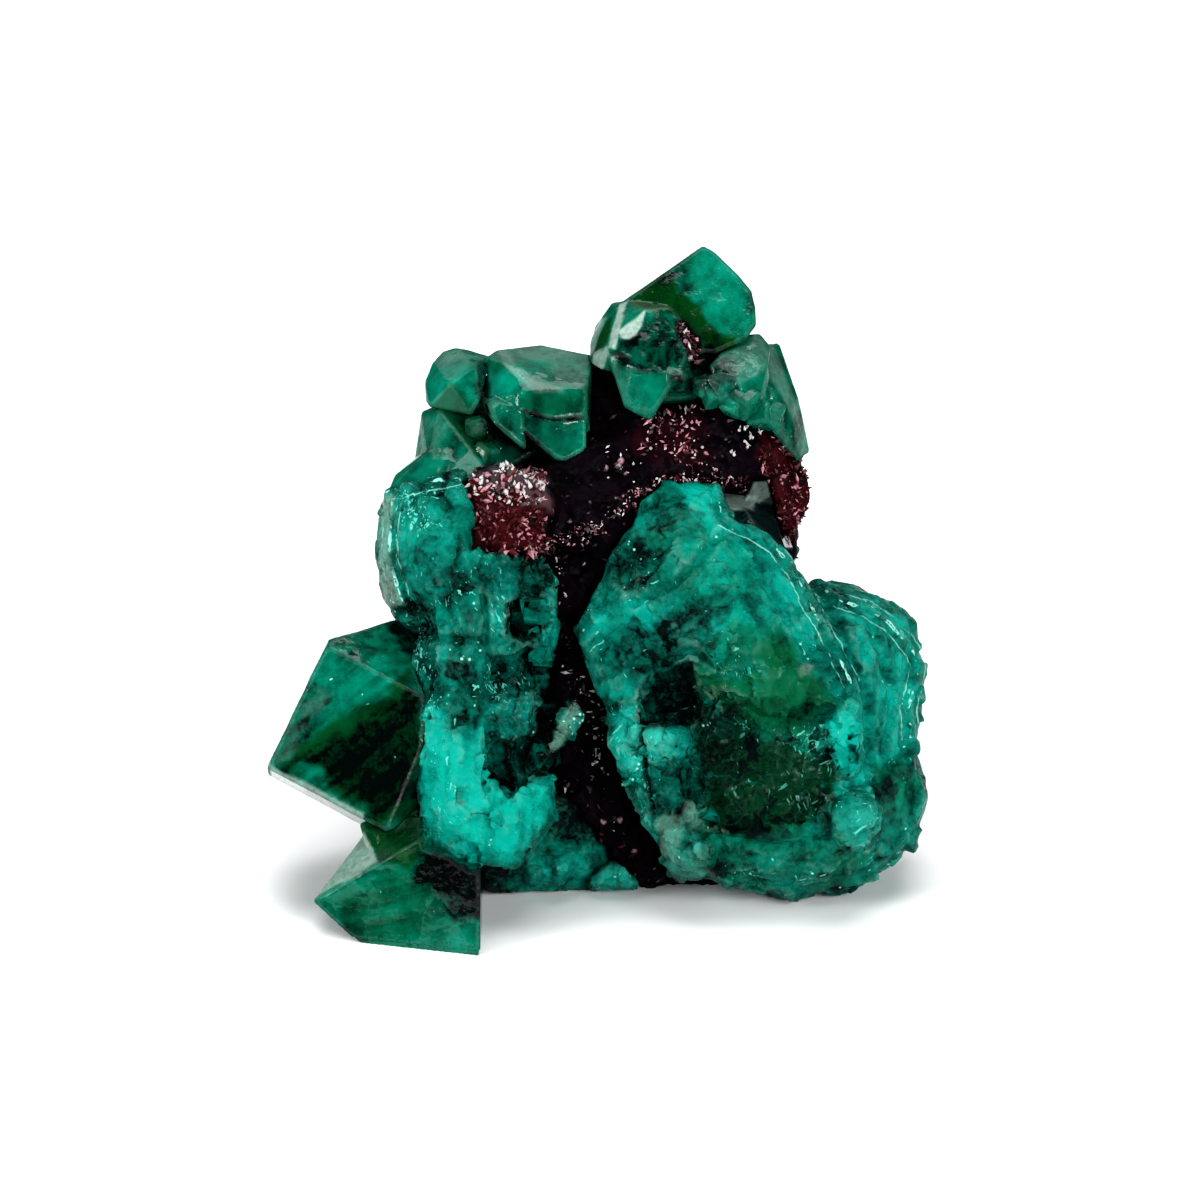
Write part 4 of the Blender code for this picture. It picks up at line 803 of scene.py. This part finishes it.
mass = {
    "node": "mass_crystals", "name": "mass", "slot": "broken_dioptase", "fineness": 0.115, "swell": 0.1,
    "salt": 67,
    "faces": [(1.5, 0.8, 0.6), (0.65, 0.4, 0.5)], "waves": [(1.2, 0.03)], "creases": [(2.4, 0.12)],
    "valleys": [
        (["636,604 676,584 704,556 722,536"], 9, -0.3),
        (["732,545 760,575 790,622 812,660"], 8, -0.22),
        (["800,566 838,622 868,700 868,760"], 9, -0.3),
        (["870,622 892,690 884,750"], 8, -0.25),
        (["908,752 880,778 846,786"], 6, -0.2),
        (["700,836 760,846 830,842"], 8, -0.25),
        (["600,640 640,664 690,650 720,668"], 7, -0.25),
        (["645,706 645,775 652,812"], 4, -0.4),
    ],
    "dents": [
        (0.7, 5, "698,692 740,702 775,714 812,702 838,706 826,740 836,790 800,826 750,832 714,824 692,800 "
                 "690,740"),
        (0.3, 9, "700,662 760,650 815,664 840,700 700,705"),
        (0.7, 4, "640,690 655,668 692,664 695,724 640,724"),
        (0.35, 6, "616,776 650,778 690,768 690,800 652,822 640,806"),
        (-0.35, 4, "838,800 846,789 858,786 872,797 873,826 865,844 854,847 838,834"),
        (-0.35, 3, "824,726 850,704 855,777 835,762 832,742"),
        (-0.3, 3, "647,728 691,733 691,757 648,760"),
        (-0.2, 2, "727,628 731,636 723,663 713,667 711,656"),
        (-0.25, 4, "750,716 822,716 818,742 770,740"),
    ],
    "streaks": [
        ((0.8, 0.55, 0.2), 0.35, 0.04, "560,600 650,480 720,500 740,660 600,700"),
        ((0.75, -0.65, 0.2), 0.3, 0.05, "720,500 790,540 920,640 925,700 840,690 790,610"),
        ((0.1, 1, 0.1), 0.3, 0.05, "600,690 700,690 700,880 650,880"),
        ((1, -0.2, 0.1), 0.35, 0.04, "700,820 900,820 880,910 700,900"),
        ((0.15, 1, 0.1), 0.4, 0.04, "840,690 920,680 930,830 850,780"),
    ],
    "back": {"dark": 0.7, "grass": 0.3},
    # ribs raise the ridges; beside them painted highlight lines are drawn
    "ribs": [
        (["717,492 723,520 751,531 775,547 794,570 805,592 817,618 836,651 855,690"], 5, 0.16),
        (["817,585 840,601 867,608 890,624 913,651 919,668 909,708 911,740"], 4, 0.1),
    ],
    # dark is painted shade in the hollow, the pocket and along the bottom; bright partly painted light,
    # strongest on the cap; speck painted sparkle
    "zones": [
        ("speck", 0.6, 9, "700,800 860,800 900,850 860,890 700,885 660,850"),
        ("speck", 0.8, 8, "735,715 822,712 826,748 735,748"),
        ("speck", 0.7, 8, "600,690 640,690 700,720 690,800 640,800 612,740"),
        ("bright", 0.4, 9, "690,484 718,488 722,519 757,531 787,557 798,598 818,640 760,655 700,640 "
                           "690,560"),
        ("bright", 1.0, 5, "680,486 716,484 720,520 700,512"),
        ("grass", 0.25, 9, "650,520 700,520 760,560 790,640 740,650 700,600 640,570"),
        ("dark", 0.26, 9, "640,500 684,500 692,560 640,590 608,575"),
        ("dark", 0.3, 9, "596,660 650,600 706,600 712,660 690,700 640,700"),
        ("grass", 0.95, 7, "700,740 760,740 838,760 838,800 800,830 750,836 700,820"),
        ("dark", 0.72, 7, "696,700 735,708 760,738 795,742 832,765 838,800 800,828 750,832 718,826 "
                          "692,800 694,740"),
        ("bright", 0.25, 9, "748,672 800,664 832,704 790,720 756,712"),
        ("grass", 0.5, 9, "690,660 740,620 796,640 816,690 816,806 700,836"),
        ("grass", 0.7, 9, "742,664 776,640 800,658 820,680 844,704 810,720 790,736 752,722 744,700"),
        ("grass", 0.85, 8, "694,676 728,680 752,706 740,722 706,712"),
        ("pale", 0.4, 2, "796,668 806,662 814,664 810,674 799,676"),
        ("bright", 0.3, 9, "730,560 760,540 806,640 770,650 728,640"),
        ("dark", 0.6, 7, "694,735 730,735 736,790 700,805"),
        ("dark", 0.5, 5, "690,690 712,684 740,700 738,736 700,730"),
        ("dark", 0.3, 8, "700,846 780,850 850,848 860,876 800,886 700,880"),
        ("grass", 0.35, 9, "700,826 800,832 880,850 840,890 700,885"),
        ("bright", 0.55, 5, "752,716 800,712 822,728 818,746 776,740"),
        ("dark", 0.9, 4, "640,690 655,668 692,664 695,724 640,724"),
        ("bright", 0.45, 6, "834,712 856,700 860,776 842,780"),
        ("bright", 0.3, 9, "840,600 905,620 912,660 905,755 850,770 830,690"),
        ("grass", 0.45, 9, "905,757 932,791 918,827 880,806 866,770"),
        ("bright", 0.85, 3, "612,712 642,706 642,774 622,778 616,750"),
        ("bright", 0.6, 3, "647,728 691,733 691,757 648,760"),
        ("bright", 0.35, 9, "880,768 918,774 922,820 890,822"),
        ("bright", 1.0, 5, "834,722 852,704 857,775 840,766"),
        ("bright", 1.0, 2, "824,726 850,704 855,777 835,762 832,742"),
        ("bright", 1.0, 1.5, "727,628 731,636 723,663 713,667 711,656"),
        ("pale", 0.35, 3, "684,800 700,804 710,806 706,821 692,830 683,816"),
        ("pale", 0.35, 4, "652,822 668,812 684,818 690,838 676,853 660,850"),
        ("pale", 0.15, 4, "665,850 716,850 704,876 688,882 668,874"),
        ("bright", 0.4, 4, "838,800 846,789 858,786 872,797 873,826 865,844 854,847 838,834"),
        ("dark", 0.45, 6, "640,775 690,765 690,800 660,822 645,812"),
        ("bright", 0.25, 9, "720,842 800,828 840,850 800,884 740,880"),
        ("bright", 0.35, 8, "578,628 602,600 640,600 650,650 600,660"),
        ("dark", 0.5, 5, "700,886 800,893 860,884 840,902 720,900"),
    ],
}
darkCrystal = {
    "node": "dark_crystal", "name": "dark_crystal_piece", "slot": "dark_dioptase", "fineness": 0.07,
    "swell": 0.08, "salt": 71,
    "waves": [(1.2, 0.02)], "back": {},
    # pale is painted reflection on the grey top face
    "zones": [
        ("pale", 0.3, 2, "717,493 757,496 752,511 719,507"),
        ("pale", 0.22, 2, "747,498 753,482 766,481 769,496 760,502"),
    ],
}
baseCrystals = {
    "node": "base_crystals", "name": "base", "slot": "broken_dioptase", "fineness": 0.09, "swell": 0.08,
    "salt": 83,
    "faces": [(1.0, 0.35, 0.6), (0.5, 0.5, 0.5)], "back": {"dark": 0.8},
    # dark is painted shade under the column and at the front edge
    "zones": [
        ("dark", 0.85, 7, "545,780 615,780 614,852 590,850 545,830 500,866 430,880 440,850"),
        ("dark", 0.9, 5, "430,860 500,862 506,895 430,900"),
        ("bright", 0.3, 6, "525,855 585,858 598,880 520,888"),
        ("bright", 0.35, 3, "590,880 612,861 640,884 590,891"),
    ],
}
backUpper = {
    "node": "back_upper_crystals", "name": "back_upper", "slot": "clear_dioptase", "fineness": 0.085,
    "swell": 0.09, "salt": 97,
    "waves": [(1.6, 0.03)], "streaks": [((0.4, 0.8, 0.5), 0.6, 0.03, None)],
    "back": {"grass": 0.6, "dark": 0.4}, "zones": [],
    "keep": 0.45,
}
backRight = {**backUpper, "node": "back_right_crystals", "name": "back_right", "salt": 103}
backLower = {**backUpper, "node": "back_lower_crystals", "name": "back_lower", "salt": 109}
matrix = {
    "node": "matrix", "name": "matrix_rock", "slot": "matrix_rock", "fineness": 0.15, "swell": 0.1,
    "salt": 113,
    "faces": [(1.1, 0.5, 0.5), (0.6, 0.5, 0.5)], "waves": [(1.4, 0.08)],
    "back": {"rust_and_shade": 0.5}, "keep": 0.5,
    # pale at the top of the red patch is partly a painted highlight of speckles
    "zones": [
        ("rust_and_shade", 1.0, 4, "464,484 545,478 548,552 470,556"),
        ("pale", 0.5, 6, "470,476 520,462 548,478 545,505 520,500"),
        ("rust_and_shade", 1.0, 6, "758,440 790,434 804,470 813,491 803,516 786,542 770,510 762,480"),
        ("rust_and_shade", 0.25, 8, "640,420 700,420 720,460 680,472 640,450"),
        ("pale", 0.2, 6, "700,330 716,345 716,360 690,350"),
    ],
}

druse = {  # sparkling grains on the matrix: where in the picture, how many, size in mm, how pale, how red; pale grains are partly painted sparkle
    "name": "matrix_druse", "slot": "matrix_rock",
    "patches": [
        ("matrix_rock", 460, 0.14, 0.7, 0.35, "464,470 545,462 552,500 500,512 470,500"),
        ("matrix_rock", 400, 0.12, 0.3, 1.0, "466,495 545,490 545,552 480,556"),
        ("matrix_rock", 900, 0.075, 0.45, 0.5, "536,545 600,514 640,484 700,466 748,478 745,490 700,482 "
                                               "650,498 600,533 545,556"),
        ("matrix_rock", 300, 0.1, 0.5, 0.7, "640,412 700,405 712,450 690,470 640,445"),
        ("matrix_rock", 40, 0.13, 0.95, 0.0, "733,428 757,426 757,458 733,460"),
        ("matrix_rock", 16, 0.1, 0.7, 0.1, "600,440 660,430 660,470 610,490"),
        ("matrix_rock", 420, 0.1, 0.2, 1.0, "760,440 795,430 812,490 803,515 786,540 765,500"),
        ("matrix_rock", 200, 0.09, 0.3, 0.1, "545,545 560,545 575,640 590,700 575,720 555,650"),
        ("matrix_rock", 110, 0.09, 0.6, 0.0, "588,690 606,700 606,770 594,770"),
        ("matrix_rock", 110, 0.09, 0.15, 0.0, "560,780 612,780 625,850 600,860 560,830"),
        ("crown", 90, 0.1, 0.25, 0.6, "676,322 690,320 699,338 700,362 694,370 686,350"),
        ("matrix_rock", 1400, 0.12, 0.02, 0.2, None),
    ],
}


def druseMaterial(name):
    material, n, shader, output = newMaterial(name)
    pale = n.mask("pale")
    rust_and_shade = n.mask("rust_and_shade")
    place = n.place()
    mottle = n.cloud(place, 4000.0, 3.0, 0.7)
    dark = n.blend(rust_and_shade, (0.003, 0.001, 0.005, 1), (0.05, 0.004, 0.005, 1))
    # pale grains: partly their own light colour, partly painted sparkle
    light = n.blend(rust_and_shade, (0.55, 0.57, 0.55, 1), (0.42, 0.21, 0.24, 1))
    tint = n.blend(n.sums("MULTIPLY", pale, n.spread(mottle, 0.3, 0.6, 0.5, 1.0)), dark, light)
    n.feed(shader.inputs["Base Color"], tint)
    n.feed(shader.inputs["Roughness"], n.spread(mottle, 0.3, 0.7, 0.1, 0.35))
    bump = n.add("ShaderNodeBump", {"Height": mottle, "Distance": 0.00003, "Strength": 0.5})
    n.feed(shader.inputs["Normal"], bump.outputs[0])
    shader.inputs["Specular IOR Level"].default_value = 0.2
    return material


def makeDruse(settings, hosts, material):  # small pointed crystals, half sunk in what carries them
    chance = random.Random(seed)
    shape = np.array([(1, 0, 0), (0.5, 0.87, 0), (-0.5, 0.87, 0), (-1, 0, 0), (-0.5, -0.87, 0),
                      (0.5, -0.87, 0), (0, 0, 1.3), (0, 0, -1.3)]) * (0.55, 0.55, 1)
    around = [(i, (i + 1) % 6) for i in range(6)]
    sides = [(a, b, 6) for a, b in around] + [(b, a, 7) for a, b in around]
    corners, faces, paleness, redness = [], [], [], []
    for host, count, size, pale, red, patch in settings["patches"]:
        mesh = hosts[host].data
        points, away = coordinates(mesh), directions(mesh)
        spots = inPicture(points)
        fit = np.ones(len(points), bool)
        if patch:
            wobble = np.stack([layered(points, 0.8 * mm, salt) for salt in (41, 43)], 1) - 0.5
            fit = outline(spots[:, :2] + wobble * edgeWander["druse"], patch, 2) > 0.5
            fit &= facingView(away) > 0.1
        fit &= points[:, 2] > 0.5 * mm
        choice = np.flatnonzero(fit)
        if not len(choice):
            print("no room for druse on", host)
            continue
        for i in range(count):
            spot = int(choice[chance.randrange(len(choice))])
            grown = Vector(away[spot]).lerp(Vector([chance.gauss(0, 1) for k in range(3)]), 0.45)
            turn = np.array(grown.to_track_quat("Z", "Y").to_matrix()) @ np.array(
                Matrix.Rotation(chance.uniform(0, 3), 3, "Z"))
            reach = size * mm * math.exp(chance.gauss(0, 0.35))
            start = len(corners) * 8
            tall = chance.uniform(0.7, 1.6)
            grain = shape * reach * (1, 1, tall) @ turn.T
            corners.append(grain + points[spot] + away[spot] * reach * 0.2)
            faces += [tuple(start + k for k in side) for side in sides]
            paleness += [1.0 if chance.random() < pale else chance.uniform(0, 0.15)] * 8
            redness += [1.0 if chance.random() < red else chance.uniform(0, 0.3)] * 8
    mesh = bpy.data.meshes.new(settings["name"])
    allCorners = np.concatenate(corners)
    allCorners[:, 2] = np.maximum(allCorners[:, 2], 0.02 * mm)
    mesh.from_pydata(allCorners.tolist(), [], faces)
    mark(mesh, "pale", np.array(paleness))
    mark(mesh, "rust_and_shade", np.array(redness))
    mesh.materials.append(material)
    piece = bpy.data.objects.new(settings["name"], mesh)
    bpy.context.scene.collection.objects.link(piece)
    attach(piece, "root")
    print("made", settings["name"], len(corners))
    return piece


plans = [
    (crown, clearMaterial), (shoulder, clearMaterial), (column, columnMaterial), (leftPrism, clearMaterial),
    (foot, clearMaterial), (mass, brokenMaterial), (darkCrystal, darkMaterial),
    (baseCrystals, brokenMaterial),
    (backUpper, clearMaterial), (backRight, clearMaterial), (backLower, clearMaterial),
    (matrix, matrixMaterial),
]
pieces = [makePiece(settings, material) for settings, material in plans]
makeDruse(druse, {piece.name: piece for piece in pieces}, druseMaterial("druse"))
for piece, (settings, material) in zip(pieces, plans):
    thinOut(piece, settings.get("keep", 0.65))
print("pieces made")

studio = {
    "floor": 3.0, "floorTone": (0.86, 0.86, 0.87, 1),
    "lights": [  # name, place in mm of the frame, aimed at mm, width, height, power
        ("back", (-60, 560, 500), (0, 30, 10), 0.8, 0.6, 0.9),
        ("top", (20, 60, 640), (0, 0, 14), 0.5, 0.5, 2.8),
        ("left", (-448, -209, 173), (0, 0, 12), 0.26, 0.26, 2.2),
        ("right", (269, -415, 173), (0, 0, 12), 0.26, 0.26, 2.6),
    ],
    "surround": 0.06,
}


def buildStudio(s):
    mesh = bpy.data.meshes.new("floor")
    half = s["floor"] / 2
    mesh.from_pydata([(-half, -half, 0), (half, -half, 0), (half, half, 0), (-half, half, 0)], [],
                     [(0, 1, 2, 3)])
    floor = bpy.data.objects.new("floor", mesh)
    bpy.context.scene.collection.objects.link(floor)
    material, n, shader, output = newMaterial("paper")
    place = n.place()
    tone = s["floorTone"]
    darker = tuple(c * 0.985 for c in tone[:3]) + (1,)
    n.feed(shader.inputs["Base Color"], n.blend(n.cloud(place, 40.0), tone, darker))
    shader.inputs["Roughness"].default_value = 0.9
    mesh.materials.append(material)
    for name, place, aim, wide, high, power in s["lights"]:
        lamp = bpy.data.lights.new(name, "AREA")
        lamp.shape, lamp.size, lamp.size_y, lamp.energy = "RECTANGLE", wide, high, power
        holder = bpy.data.objects.new(name, lamp)
        holder.location = Vector(place) * mm
        holder.rotation_euler = (Vector(aim) - Vector(place)).to_track_quat("-Z", "Y").to_euler()
        bpy.context.scene.collection.objects.link(holder)
    world = bpy.data.worlds.new("surround")
    world.use_nodes = True
    world.node_tree.nodes["Background"].inputs["Color"].default_value = (1, 1, 1, 1)
    world.node_tree.nodes["Background"].inputs["Strength"].default_value = s["surround"]
    bpy.context.scene.world = world
    bpy.context.scene.view_settings.view_transform = "Standard"
    bpy.context.scene.view_settings.look = "High Contrast"


def buildCamera():
    camera = bpy.data.cameras.new("camera")
    camera.lens = look["lens"]
    camera.sensor_width = 36
    camera.clip_start = 0.01
    holder = bpy.data.objects.new("camera", camera)
    place = fromView(0, look["aim"], look["distance"])
    target = fromView(0, look["aim"], 0)
    holder.location = place
    holder.rotation_euler = (target - place).to_track_quat("-Z", "Y").to_euler()
    bpy.context.scene.collection.objects.link(holder)
    bpy.context.scene.camera = holder


buildStudio(studio)
buildCamera()
print("studio ready")
